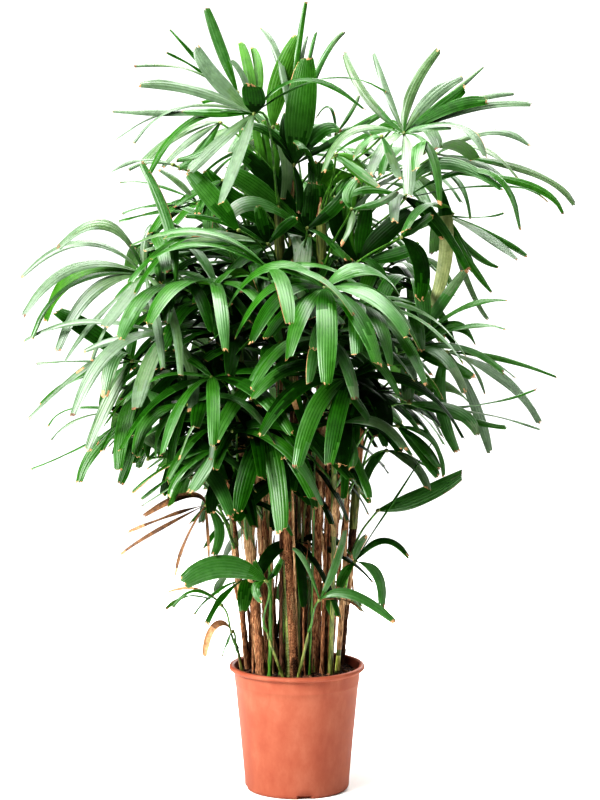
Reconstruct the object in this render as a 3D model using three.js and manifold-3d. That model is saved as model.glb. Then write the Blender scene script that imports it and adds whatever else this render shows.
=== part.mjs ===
// A lady palm (Rhapis) in a round nursery pot, built as closed solids.
// Millimetres, +Z up. The origin is the centre of the pot's flat underside, and the
// plant's fullest side faces -Y.
import * as THREE from 'three';
import { mergeVertices } from 'three/addons/utils/BufferGeometryUtils.js';
import Module from 'manifold-3d';

const wasm = await Module();
wasm.setup();

// ---------------------------------------------------------------- driving dimensions

const POT = {
  height: 250,
  baseRadius: 104,      // where the wall meets the rounded foot
  wallTopRadius: 126,   // just under the rim
  footRadius: 98,       // edge of the flat underside
  footRise: 9,          // height of the rounded foot
  footSteps: 3,
  wall: 2.6,
  floor: 3,
  ledgeHeight: 10,      // raised ring of the floor that the drainage notches are cut in
  ledgeWidth: 22,
  rimRadius: 135,
  rimHeight: 10,
  rimArc: [-80, 100],   // degrees of the rim's round edge
  rimSteps: 4,
  collarDrop: 27,       // from the rim's underside down to the step in the wall
  collarStep: 0.8,
  collarLead: 1.2,      // height that the step takes
  facets: 36,
};
const NOTCH = { count: 4, width: 28, height: 6.5, depth: 14, turn: -81.3 };
const SOIL = { top: 236, facets: 36 };
const CLEAR = 0.3;       // gap between pieces that touch
const SEAT = 0.4;        // gap from a cane's surface to a petiole's foot
const WELD = 1e-4;       // corners nearer than this are one

// Canes: foot and tip as [x, y] and [x, y, z], with their radii and where the leafy
// crown shaft starts as a share of the height (none where nothing grows from the tip).
const CANES = {
  main: { foot: [-9, -50], tip: [-34, -44, 1170], radii: [11.5, 8], crown: 0.52 },
  fibrous: { foot: [-70, -34], tip: [-118, -66, 1060], radii: [10, 7.5], crown: 0.5 },
  left: { foot: [-98, 24], tip: [-146, 6, 930], radii: [6.5, 5.5], crown: 0.48 },
  stub: { foot: [-86, 50], tip: [-90, 56, 335], radii: [6, 5] },
  back_left: { foot: [-54, 66], tip: [-92, 116, 1110], radii: [9, 7], crown: 0.5 },
  back: { foot: [16, 98], tip: [22, 160, 1140], radii: [9, 7], crown: 0.5 },
  heart: { foot: [4, 18], tip: [-8, 22, 1230], radii: [9.5, 7], crown: 0.54 },
  sheathed: { foot: [32, -10], tip: [46, -58, 1180], radii: [9, 8], crown: 0.52 },
  brown: { foot: [-40, 8], tip: [-66, 4, 880], radii: [7.5, 6], crown: 0.5 },
  right: { foot: [50, 44], tip: [104, 46, 1130], radii: [8.5, 7], crown: 0.5 },
  green: { foot: [66, -34], tip: [70, -104, 860], radii: [5, 4.5], crown: 0.52 },
  ringed: { foot: [80, -14], tip: [98, -40, 720], radii: [4.6, 4], crown: 0.6 },
  dark: { foot: [86, 60], tip: [140, 92, 1000], radii: [8, 6.5], crown: 0.5 },
  old_back: { foot: [52, 84], tip: [66, 104, 640], radii: [7, 6] },
  old_left: { foot: [-58, -2], tip: [-64, -8, 560], radii: [6, 5] },
  shoot_left: { foot: [-26, -74], tip: [-64, -100, 350], radii: [3.6, 3] },
  shoot_right: { foot: [2, -80], tip: [26, -104, 350], radii: [3.6, 3] },
  shoot_low: { foot: [-110, -2], tip: [-119, -8, 296], radii: [3.4, 3] },
};
const CANE = {
  sides: 8,
  steps: 4,
  crownSteps: 2,
  flare: 0.22,           // how much wider a cane is at the soil, as a share
  flareHeight: 30,
  bow: 0.012,            // outward bow as a share of the height
  tipShaft: 30,          // length of a shoot's top that its fronds grow from
  youngRadius: 6,        // canes thinner than this are still green
};

// The leafy crown: at each height, how far +X its middle lies from the axis and how far
// its tips reach from there.
const REACH = [
  [300, -10, 200], [450, -30, 250], [560, -60, 310], [650, -95, 420], [760, -30, 500],
  [860, -15, 505], [970, -58, 485], [1060, -25, 490], [1190, 95, 455], [1330, 50, 430],
  [1400, -20, 320], [1440, -50, 260], [1490, -75, 175], [1550, -30, 80],
];
const TOP = 1550;
const LOWEST_LEAF = 262;
const CROWN_SLACK = 30;

// Fronds with a place of their own: the cane each grows on, its hub, where its blade
// points (turn about +Z from +X, pitch above level), and the blade.
const OWN_FRONDS = [
  { cane: 'left', hub: [-292, -90, 1030], turn: 212, pitch: -16,
    count: 11, spread: 142, length: 290, width: 28, limp: 1.35, rise: 28 },
  { cane: 'fibrous', hub: [-250, -175, 922], turn: 216, pitch: -24,
    count: 9, spread: 112, length: 275, width: 33, limp: 1.3 },
  { cane: 'sheathed', hub: [50, -330, 1020], turn: -84, pitch: -30,
    count: 9, spread: 124, length: 235, width: 42, limp: 1.5, rise: 24 },
  { cane: 'right', hub: [203, -130, 1300], turn: -70, pitch: -62,
    count: 12, spread: 165, length: 215, width: 32, limp: 0.4, rise: 22 },
  { cane: 'main', hub: [-81, -150, 1338], turn: 226, pitch: -52,
    count: 10, spread: 150, length: 250, width: 30, limp: 0.5 },
  { cane: 'heart', hub: [-8, -20, 1275], turn: -80, pitch: 86,
    count: 6, spread: 26, length: 262, width: 38 },
  { cane: 'back_left', hub: [-116, 20, 1380], turn: 165, pitch: 58,
    count: 6, spread: 56, length: 195, width: 27 },
  { cane: 'sheathed', hub: [214, -150, 890], turn: -28, pitch: -14,
    count: 9, spread: 112, length: 255, width: 33 },
  { cane: 'main', hub: [-58, -235, 750], turn: 262, pitch: -56,
    count: 6, spread: 86, length: 205, width: 36 },
  { cane: 'green', hub: [77, -235, 757], turn: -72, pitch: -46,
    count: 6, spread: 96, length: 175, width: 31 },
  { cane: 'left', hub: [-178, -70, 580], turn: 196, pitch: -8,
    count: 6, spread: 76, length: 215, width: 27, limp: 0.7 },
  { cane: 'shoot_left', hub: [-60, -128, 440], turn: 188, pitch: 20,
    count: 4, spread: 84, length: 190, width: 50, limp: 1.1 },
  { cane: 'shoot_low', hub: [-150, -20, 372], turn: 190, pitch: 12,
    count: 3, spread: 30, length: 125, width: 15 },
  { cane: 'ringed', hub: [114, -80, 470], turn: -12, pitch: 26,
    count: 5, spread: 104, length: 175, width: 31, limp: 1.5 },
  { cane: 'shoot_right', hub: [44, -124, 402], turn: -14, pitch: 12,
    count: 3, spread: 40, length: 185, width: 30 },
  { cane: 'dark', hub: [160, -10, 560], turn: -8, pitch: 34,
    count: 3, spread: 16, length: 205, width: 33, limp: 0.15, rise: 4 },
  { cane: 'right', hub: [262, -60, 1225], turn: -14, pitch: -6,
    count: 9, spread: 92, length: 290, width: 25, limp: 1.1 },
  { cane: 'fibrous', hub: [-190, -60, 1165], turn: 196, pitch: 4,
    count: 9, spread: 118, length: 240, width: 31 },
  { cane: 'heart', hub: [-140, 10, 1330], turn: 178, pitch: 8,
    count: 8, spread: 84, length: 270, width: 26, limp: 0.6 },
  { cane: 'brown', hub: [-130, -150, 640], turn: 228, pitch: -44,
    count: 6, spread: 90, length: 210, width: 33 },
  { cane: 'shoot_low', hub: [-128, -16, 318], turn: 214, pitch: -24,
    count: 2, spread: 60, length: 80, width: 19 },
  { cane: 'back_left', hub: [-240, -40, 1240], turn: 192, pitch: -6,
    count: 8, spread: 112, length: 235, width: 33 },
  { cane: 'heart', hub: [-150, -70, 1392], turn: 190, pitch: 14,
    count: 7, spread: 74, length: 235, width: 25, limp: 0.35 },
  { cane: 'dark', hub: [296, 10, 872], turn: -6, pitch: -8,
    count: 8, spread: 92, length: 245, width: 27 },
  { cane: 'heart', hub: [20, -100, 1120], turn: -80, pitch: 62,
    count: 7, spread: 70, length: 240, width: 40, limp: 0.3 },
  { cane: 'dark', hub: [196, -70, 735], turn: -26, pitch: -30,
    count: 7, spread: 96, length: 215, width: 30 },
  { cane: 'left', hub: [-238, 40, 800], turn: 168, pitch: -26,
    count: 8, spread: 104, length: 240, width: 30 },
];

// Fronds by rule, in four rings: hubs from low to high at the golden angle, set in from
// the crown's reach, with their pitch and size changing with height. Each [from, to] runs
// from the lowest frond to the highest, or between the least and the most that is drawn.
const GOLDEN_ANGLE = 137.508;
const RINGS = {
  shell: { count: 42, heights: [650, 1310], inset: [175, 195], pitch: [-44, 14],
    length: [240, 272], width: [27, 36], counts: [7, 10], spread: 122, seed: 4100, start: 70 },
  inner: { count: 20, heights: [640, 1180], inset: [360, 400], pitch: [-10, 58],
    length: [215, 250], width: [29, 40], counts: [6, 8], spread: 105, seed: 5200, start: 10,
    stations: [0.42, 1] },
  crest: { count: 8, heights: [1170, 1310], inset: [400, 360], pitch: [50, 78],
    length: [200, 240], width: [28, 36], counts: [6, 8], spread: 70, seed: 6300, start: 200 },
  low: { count: 5, heights: [380, 600], inset: [150, 205], pitch: [-14, -24],
    length: [150, 215], width: [22, 30], counts: [4, 6], spread: 96, seed: 7400, start: 45 },
};
// How far the rings scatter: millimetres for height and out, degrees for the angles.
const SCATTER = { height: 30, place: 30, out: 50, turn: 40, pitch: 24, spread: 26 };
const LEAST_OUT = 25;    // of a ruled hub from the crown's middle
const HUB_SPACING = 66;  // a ruled frond nearer than this to another hub is left out
const OWN_SEED = 1000;

// The cane that a ruled frond grows on costs its distance, so much for each millimetre that
// it is too short, and so much for each frond that it has.
const CANE_CHOICE = { below: 60, short: 1.6, used: 16 };

// One blade: leaflets round a hub, roofed, arching over and blunt at the tip.
const LEAFLET = {
  steps: 12,             // of the arched midline
  stations: [0.36, 0.74, 1],
  rise: 16,              // degrees above the blade's plane at the hub
  droop: [1, 1.9],       // how far a leaflet bends over by its tip
  droopPower: 1.4,
  blunt: 0.42,           // width of the tip as a share of the widest place
  widest: 0.45,          // where the leaflet is widest, as a share of its length
  neck: 0.1,
  roof: 0.1,             // height of the midrib's ridge as a share of the width
  thinnest: 3,
  limp: [1.15, 0.1],     // share of the droop in a level frond and in a steep one
  steep: 80,             // pitch of a frond that droops the least
  outer: 0.3,            // where the part starts that has to pass its neighbours
  backShorter: 0.16,     // how much shorter a leaflet is that points back at its cane
};
// Each leaflet's own variation: degrees for the angles, shares for the others.
const VARIATION = { angle: 0.14, rise: 7, length: 0.12, width: 0.2, twist: 24 };
const PETIOLE = {
  radius: 2.6,
  foot: 4.2,
  steps: 4,
  lift: 62,              // degrees above level as it leaves the cane
  reach: 0.45,           // how far it keeps that way, as a share of its span
  arrive: 0.3,           // and how far before the hub it has come round
  rising: 0.5,           // how much it still rises there
  past: 2.5,             // into the blade, past the middle of the hub
  below: 50,             // foot below the hub, and more by the share below of the way out
  belowShare: 0.5,
  topSpare: 14,          // kept from the foot to the cane's tip
  crownSpare: 8,         // and from it down to the start of the crown shaft
  soilSpare: 20,         // and down to the soil
};
const HUB = {
  radius: 7,
  half: 5,
  endSpoke: 16,          // degrees past the outermost leaflets
  leastHalfTurn: 112,    // degrees to either side, so that the hub closes round its middle
};

// Placing: each leaflet and petiole is kept clear of what stands by the clearance. One that
// meets something is dealt again, a little further off at each try, and then left out.
const CLEARANCE = 0.6;
const TRIES = 20;
const LEAF_SHIFT = { least: 0.4, angle: 10, rise: 14, droop: 0.25 };
const HUB_SHIFT = { first: 12, more: 8, down: 60 };
const DRAWS = { leaflet: [97, 13], leafTry: [89, 31, 7], hubTry: 71 };

// ---------------------------------------------------------------- numbers and vectors

const UP = new THREE.Vector3(0, 0, 1);
const radians = THREE.MathUtils.degToRad;
const lerp = THREE.MathUtils.lerp;
const v = (x, y, z) => new THREE.Vector3(x, y, z);

/** A repeatable run of numbers from 0 to 1. */
function sequence(seed) {
  let state = seed >>> 0;
  return () => {
    state = (state + 0x6d2b79f5) >>> 0;
    let t = Math.imul(state ^ (state >>> 15), state | 1);
    t = (t + Math.imul(t ^ (t >>> 7), t | 61)) ^ t;
    return ((t ^ (t >>> 14)) >>> 0) / 4294967296;
  };
}

/** The crown's middle along X and its reach from there, at a height. */
function crownAt(z) {
  const next = REACH.findIndex(([height]) => height > z);
  if (next <= 0) return REACH[next === 0 ? 0 : REACH.length - 1].slice(1);
  const [lowZ, ...low] = REACH[next - 1];
  const [highZ, ...high] = REACH[next];
  const share = (z - lowZ) / (highZ - lowZ);
  return [lerp(low[0], high[0], share), lerp(low[1], high[1], share)];
}

function heading(turn, pitch) {
  const flat = Math.cos(pitch);
  return v(Math.cos(turn) * flat, Math.sin(turn) * flat, Math.sin(pitch));
}

/** The level direction to the right of a heading, and straight ahead of it if upright. */
function rightOf(direction) {
  return v(direction.y, -direction.x, 0).normalize();
}

// ---------------------------------------------------------------- closed solids

/** A four-cornered face as two triangles, split so that a warped one stands out, not in. */
function quad(points, a, b, c, d) {
  const normal = points[b].clone().sub(points[a]).cross(points[c].clone().sub(points[a]));
  const isOut = points[d].clone().sub(points[a]).dot(normal) <= 0;
  return isOut ? [[a, b, c], [a, c, d]] : [[a, b, d], [b, c, d]];
}

/** Skins rings of as many points each, counter-clockwise about the way they run. Gives the
 * vertices and triangles of a closed solid. */
function loft(rings) {
  const points = rings.flat();
  const triangles = [];
  const sides = rings[0].length;
  const at = (ring, side) => ring * sides + (side % sides);
  for (let r = 0; r + 1 < rings.length; r += 1) {
    for (let s = 0; s < sides; s += 1) {
      triangles.push(...quad(points, at(r, s), at(r, s + 1), at(r + 1, s + 1), at(r + 1, s)));
    }
  }
  const last = rings.length - 1;
  for (let s = 1; s + 1 < sides; s += 1) {
    triangles.push([at(0, 0), at(0, s + 1), at(0, s)]);
    triangles.push([at(last, 0), at(last, s), at(last, s + 1)]);
  }
  return { points, triangles };
}

function toManifold({ points, triangles }) {
  const vertProperties = new Float32Array(points.flatMap((point) => point.toArray()));
  return new wasm.Manifold(
    new wasm.Mesh({ numProp: 3, vertProperties, triVerts: new Uint32Array(triangles.flat()) }),
  );
}

function geometryToManifold(geometry) {
  geometry.deleteAttribute('normal');
  geometry.deleteAttribute('uv');
  const merged = mergeVertices(geometry, WELD);
  return new wasm.Manifold(
    new wasm.Mesh({
      numProp: 3,
      vertProperties: new Float32Array(merged.attributes.position.array),
      triVerts: new Uint32Array(merged.index.array),
    }),
  );
}

/** The largest skin of a fused solid, so that a sealed hollow is filled. */
function outerSkin({ numVert, triVerts }) {
  const skin = Array.from({ length: numVert }, (_, k) => k);
  const skinOf = (k) => {
    let root = k;
    while (skin[root] !== root) root = skin[root];
    skin[k] = root;
    return root;
  };
  for (let t = 0; t < triVerts.length; t += 3) {
    skin[skinOf(triVerts[t + 1])] = skinOf(triVerts[t]);
    skin[skinOf(triVerts[t + 2])] = skinOf(triVerts[t]);
  }
  const corners = {};
  for (const k of triVerts) corners[skinOf(k)] = (corners[skinOf(k)] ?? 0) + 1;
  const [[largest]] = Object.entries(corners).sort(([, one], [, other]) => other - one);
  return triVerts.filter((k) => skinOf(k) === Number(largest));
}

function toGeometry(manifold) {
  const mesh = manifold.getMesh();
  const geometry = new THREE.BufferGeometry();
  geometry.setAttribute('position', new THREE.BufferAttribute(mesh.vertProperties, 3));
  geometry.setIndex(new THREE.BufferAttribute(outerSkin(mesh), 1));
  return geometry;
}

function fuse(solids) {
  return solids.map(toManifold).reduce((whole, part) => whole.add(part));
}

// ---------------------------------------------------------------- room between pieces

/** A solid as an obstacle: its box, its edges and its triangles. */
function obstacle(owner, { points, triangles }) {
  const box = new THREE.Box3().setFromPoints(points);
  const edges = new Map();
  for (const [a, b, c] of triangles) {
    for (const [p, q] of [[a, b], [b, c], [c, a]]) {
      if (p < q) edges.set(p * points.length + q, [points[p], points[q]]);
    }
  }
  const faces = triangles.map((face) => face.map((k) => points[k]));
  return { owner, box, edges: [...edges.values()], faces };
}

const edgeOne = v(0, 0, 0);
const edgeTwo = v(0, 0, 0);
const along = v(0, 0, 0);
const across = v(0, 0, 0);
const from = v(0, 0, 0);

/** Whether the stretch from start to end passes through a triangle. */
function pierces([start, end], [a, b, c]) {
  edgeOne.subVectors(b, a);
  edgeTwo.subVectors(c, a);
  along.subVectors(end, start);
  across.crossVectors(along, edgeTwo);
  const size = edgeOne.dot(across);
  if (Math.abs(size) < 1e-9) return false;
  from.subVectors(start, a);
  const first = from.dot(across) / size;
  if (first < 0 || first > 1) return false;
  from.cross(edgeOne);
  const second = along.dot(from) / size;
  if (second < 0 || first + second > 1) return false;
  const way = edgeTwo.dot(from) / size;
  return way >= 0 && way <= 1;
}

function meets(one, other) {
  if (!one.box.intersectsBox(other.box)) return false;
  const through = (p, q) => p.edges.some((edge) => q.faces.some((face) => pierces(edge, face)));
  return through(one, other) || through(other, one);
}

// ---------------------------------------------------------------- pot and soil

/** The points of a round stretch of an outline. */
function arcPoints(centreR, centreZ, radius, fromDegrees, toDegrees, steps) {
  return Array.from({ length: steps + 1 }, (_, k) => {
    const angle = radians(lerp(fromDegrees, toDegrees, k / steps));
    return new THREE.Vector2(centreR + radius * Math.cos(angle), centreZ + radius * Math.sin(angle));
  });
}

function potOutline() {
  const roll = POT.rimHeight / 2;
  const rimBottom = POT.height - POT.rimHeight;
  const collar = rimBottom - POT.collarDrop;
  const slope = (POT.wallTopRadius - POT.baseRadius) / (rimBottom - POT.footRise);
  const wallAt = (z) => POT.baseRadius + (z - POT.footRise) * slope;
  const ledgeIn = wallAt(POT.ledgeHeight) - POT.wall - POT.ledgeWidth;
  const p = (r, z) => new THREE.Vector2(r, z);
  const foot = Array.from({ length: POT.footSteps + 1 }, (_, k) => {
    const angle = (Math.PI / 2) * (k / POT.footSteps);
    const out = lerp(POT.footRadius, POT.baseRadius, Math.sin(angle));
    return p(out, POT.footRise * (1 - Math.cos(angle)));
  });
  return [
    p(0, 0),
    ...foot,
    p(wallAt(collar) - POT.collarStep, collar - POT.collarLead),
    p(wallAt(collar), collar),
    p(POT.wallTopRadius, rimBottom),
    ...arcPoints(POT.rimRadius - roll, POT.height - roll, roll, ...POT.rimArc, POT.rimSteps),
    p(POT.wallTopRadius - POT.wall, POT.height - roll),
    p(wallAt(collar) - POT.wall, collar),
    p(wallAt(POT.ledgeHeight) - POT.wall, POT.ledgeHeight),
    p(ledgeIn, POT.ledgeHeight),
    p(ledgeIn, POT.floor),
    p(0, POT.floor),
  ];
}

/** The wall's inner radius at a height, CLEAR of it. */
function insidePot(z) {
  const slope = (POT.wallTopRadius - POT.baseRadius) / (POT.height - POT.rimHeight - POT.footRise);
  const facetLoss = Math.cos(Math.PI / POT.facets);
  return (POT.baseRadius + (z - POT.footRise) * slope - POT.wall) * facetLoss - 2 * CLEAR;
}

function makePot() {
  let pot = geometryToManifold(turned(potOutline(), POT.facets));
  for (let k = 0; k < NOTCH.count; k += 1) {
    const notch = new THREE.BoxGeometry(2 * NOTCH.depth, NOTCH.width, 2 * NOTCH.height);
    notch.translate(POT.baseRadius, 0, 0);
    notch.rotateZ(radians(NOTCH.turn + (k * 360) / NOTCH.count));
    pot = pot.subtract(geometryToManifold(notch));
  }
  return pot;
}

/** A lathe stands its axis up along +Z. */
function turned(outline, facets) {
  const geometry = new THREE.LatheGeometry(outline, facets);
  geometry.rotateX(Math.PI / 2);
  return geometry;
}

function makeSoil() {
  const bottom = POT.floor + CLEAR;
  const shelf = POT.ledgeHeight + CLEAR;
  const well = insidePot(POT.ledgeHeight) - POT.ledgeWidth - 3 * CLEAR;
  const outline = [
    new THREE.Vector2(0, bottom),
    new THREE.Vector2(well, bottom),
    new THREE.Vector2(well, shelf),
    new THREE.Vector2(insidePot(shelf), shelf),
    new THREE.Vector2(insidePot(SOIL.top), SOIL.top),
    new THREE.Vector2(0, SOIL.top),
  ];
  return geometryToManifold(turned(outline, SOIL.facets));
}

// ---------------------------------------------------------------- canes

const caneFoot = SOIL.top + CLEAR;

/** Where the leafy shaft of a cane starts, or its tip where it has none. */
const crownStart = (cane) => (cane.crown ? lerp(caneFoot, cane.tip[2], cane.crown) : cane.tip[2]);

/** The middle of a cane that bows out smoothly between foot and tip. */
function bowedMiddle(cane, z) {
  const share = (z - caneFoot) / (cane.tip[2] - caneFoot);
  const bow = CANE.bow * (cane.tip[2] - caneFoot) * Math.sin(Math.PI * share);
  const away = Math.atan2(cane.tip[1], cane.tip[0]);
  return v(
    lerp(cane.foot[0], cane.tip[0], share) + bow * Math.cos(away),
    lerp(cane.foot[1], cane.tip[1], share) + bow * Math.sin(away),
    z,
  );
}

/** The heights that a cane runs straight between. */
function caneKnots(cane) {
  const stretch = (low, high, steps) => (
    Array.from({ length: steps }, (_, k) => lerp(low, high, k / steps))
  );
  const split = crownStart(cane);
  const shaft = cane.crown ? stretch(split, cane.tip[2], CANE.crownSteps) : [];
  return [...stretch(caneFoot, split, CANE.steps), ...shaft, cane.tip[2]];
}

/** A cane's middle at a height, on the straight stretches of its solid. */
function caneMiddle(cane, z) {
  const knots = caneKnots(cane);
  const next = Math.max(1, knots.findIndex((knot) => knot >= z));
  const [low, high] = [knots[next - 1], knots[next]];
  return bowedMiddle(cane, low).lerp(bowedMiddle(cane, high), (z - low) / (high - low));
}

function caneRadius(cane, z) {
  const share = (z - caneFoot) / (cane.tip[2] - caneFoot);
  const flare = CANE.flare * Math.exp(-(z - caneFoot) / CANE.flareHeight);
  return lerp(cane.radii[0], cane.radii[1], share) * (1 + flare);
}

function caneStretch(cane, fromZ, toZ, steps) {
  const rings = [];
  for (let k = 0; k <= steps; k += 1) {
    const z = lerp(fromZ, toZ, k / steps);
    const middle = caneMiddle(cane, z);
    const radius = caneRadius(cane, z);
    rings.push(
      Array.from({ length: CANE.sides }, (_, side) => {
        const angle = (2 * Math.PI * side) / CANE.sides;
        return v(middle.x + radius * Math.cos(angle), middle.y + radius * Math.sin(angle), z);
      }),
    );
  }
  return loft(rings);
}

// ---------------------------------------------------------------- fronds

/** The midline of a leaflet: equal steps that bend over towards the ground. */
function midline(start, direction, length, droop) {
  const places = [{ point: start.clone(), along: direction.clone() }];
  for (let k = 0; k < LEAFLET.steps; k += 1) {
    const share = (k + 0.5) / LEAFLET.steps;
    const bend = droop * share ** LEAFLET.droopPower;
    const step = direction.clone().addScaledVector(UP, -bend).normalize();
    const point = places[k].point.clone().addScaledVector(step, length / LEAFLET.steps);
    places.push({ point, along: step });
  }
  return places;
}

/** A leaflet's width along its length, as a share of its widest place. */
function widthShare(share) {
  if (share < LEAFLET.widest) {
    return LEAFLET.neck + (1 - LEAFLET.neck) * Math.sin((Math.PI / 2) * (share / LEAFLET.widest));
  }
  return 1 - (1 - LEAFLET.blunt) * ((share - LEAFLET.widest) / (1 - LEAFLET.widest)) ** 3;
}

/** The roofed sections of a leaflet, the ridge first, then its right and left edge. */
function leafletRings(leaf, grow) {
  const places = midline(leaf.start, leaf.direction, leaf.length, leaf.droop);
  return leaf.stations.map((share) => {
    const { point, along: way } = places[Math.round(share * LEAFLET.steps)];
    const side = leaf.side.clone().addScaledVector(way, -leaf.side.dot(way)).normalize();
    side.applyAxisAngle(way, leaf.twist * share);
    const top = side.clone().cross(way);
    const half = (leaf.width / 2) * widthShare(share) + grow;
    const ridge = Math.max(LEAFLET.thinnest, LEAFLET.roof * leaf.width * widthShare(share)) + grow;
    return [
      point.clone().addScaledVector(top, ridge),
      point.clone().addScaledVector(side, half).addScaledVector(top, -grow),
      point.clone().addScaledVector(side, -half).addScaledVector(top, -grow),
    ];
  });
}

/** One leaflet by itself, with a roof that holds its hub, for finding room for it. */
function leafletRoom(leaf, grow) {
  const up = leaf.side.clone().cross(leaf.direction).multiplyScalar(HUB.half + grow);
  const out = leaf.side.clone().multiplyScalar(2 * (HUB.radius + grow));
  const below = leaf.start.clone().sub(up);
  const hub = [leaf.start.clone().add(up), below.clone().add(out), below.clone().sub(out)];
  return loft([hub, ...leafletRings(leaf, grow)]);
}

/** The stretch of a leaflet past the part that its neighbours grow beside. */
function outerRoom(leaf) {
  const rings = leafletRings(leaf, CLEARANCE);
  const inner = rings[0].map((point) => leaf.start.clone().lerp(point, LEAFLET.outer));
  return loft([inner, ...rings]);
}

/** A frond's blade as one closed skin: a hub with a top, an underside and a spoke point
 * between each two leaflets, which the leaflets grow from. */
function bladeSolid(frond) {
  const { hub, normal, forward, right } = frond;
  const leaves = [...frond.leaflets].sort((one, other) => one.phi - other.phi);
  const spoke = (phi) => hub.clone()
    .addScaledVector(forward, HUB.radius * Math.cos(radians(phi)))
    .addScaledVector(right, HUB.radius * Math.sin(radians(phi)));
  const first = leaves[0].phi;
  const last = leaves[leaves.length - 1].phi;
  const past = Math.min(HUB.endSpoke, (360 - (last - first)) / 3);
  const halfTurn = Math.max((last - first) / 2 + past, HUB.leastHalfTurn);
  const points = [
    hub.clone().addScaledVector(normal, HUB.half),
    hub.clone().addScaledVector(normal, -HUB.half),
    spoke((first + last) / 2 - halfTurn),
    ...leaves.slice(1).map((leaf, k) => spoke((leaves[k].phi + leaf.phi) / 2)),
    spoke((first + last) / 2 + halfTurn),
  ];
  const [top, low, firstSpoke, lastSpoke] = [0, 1, 2, 2 + leaves.length];
  const triangles = [[lastSpoke, top, firstSpoke], [low, lastSpoke, firstSpoke]];
  leaves.forEach((leaf, k) => {
    const rings = leafletRings(leaf, 0);
    const [, right, left] = rings.pop();
    const at = points.length;
    points.push(...rings.flat(), right, left);
    const [near, far] = [firstSpoke + k, firstSpoke + k + 1];
    triangles.push([top, far, at + 1], [top, at + 1, at], [far, low, at + 1], [low, near, at + 2]);
    triangles.push([low, at + 2, at + 1], [near, top, at], [near, at, at + 2]);
    for (let r = 0; r + 1 < rings.length; r += 1) {
      for (let side = 0; side < 3; side += 1) {
        const [a, b] = [at + 3 * r + side, at + 3 * r + ((side + 1) % 3)];
        triangles.push(...quad(points, a, b, b + 3, a + 3));
      }
    }
    const ridge = at + 3 * (rings.length - 1);
    const [endRight, endLeft] = [ridge + 3, ridge + 4];
    triangles.push([ridge, ridge + 1, endRight], [ridge, endRight, endLeft], [ridge + 2, ridge, endLeft]);
    triangles.push(...quad(points, ridge + 1, ridge + 2, endLeft, endRight));
  });
  return { points, triangles };
}

/** Where a petiole leaves its cane: flat on one of the cane's faces, the one that looks
 * most towards the hub, or well inside a crown shaft. */
function petioleFoot(frond) {
  const cane = CANES[frond.cane];
  const middle = caneMiddle(cane, frond.attach);
  const axis = caneMiddle(cane, frond.attach + 1).sub(middle).normalize();
  const face = (2 * Math.PI) / CANE.sides;
  const towards = Math.atan2(frond.hub.y - middle.y, frond.hub.x - middle.x);
  const out = heading((Math.floor(towards / face) + 0.5) * face, 0);
  out.addScaledVector(axis, -out.dot(axis)).normalize();
  const surface = caneRadius(cane, frond.attach) * Math.cos(face / 2);
  const offset = isFused(frond) ? 0 : surface + SEAT;
  return { point: middle.addScaledVector(out, offset), out, axis };
}

/** A three-sided stalk from the cane, up and out, over to the hub. */
function petioleSolid(frond, grow) {
  const { point, out, axis } = petioleFoot(frond);
  const span = point.distanceTo(frond.hub);
  const lift = radians(PETIOLE.lift);
  const leave = out.clone().multiplyScalar(Math.cos(lift)).addScaledVector(axis, Math.sin(lift));
  const curve = new THREE.CubicBezierCurve3(
    point,
    point.clone().addScaledVector(leave, span * PETIOLE.reach),
    frond.hub.clone().addScaledVector(frond.arrive, -span * PETIOLE.arrive),
    frond.hub.clone().addScaledVector(frond.arrive, PETIOLE.past),
  );
  const side = out.clone().cross(axis).negate();
  const rings = [];
  for (let k = 0; k <= PETIOLE.steps; k += 1) {
    const share = k / PETIOLE.steps;
    const middle = curve.getPoint(share);
    const way = curve.getTangent(share);
    const radius = lerp(PETIOLE.foot, PETIOLE.radius, Math.min(1, 3 * share)) + grow;
    const right = k === 0 ? side.clone().negate() : rightOf(way);
    const top = k === 0 ? axis : right.clone().cross(way);
    const corner = (degrees) => middle.clone()
      .addScaledVector(top, radius * Math.cos(radians(degrees)))
      .addScaledVector(right, radius * Math.sin(radians(degrees)));
    rings.push([corner(0), corner(120), corner(240)]);
  }
  return loft(rings);
}

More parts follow.
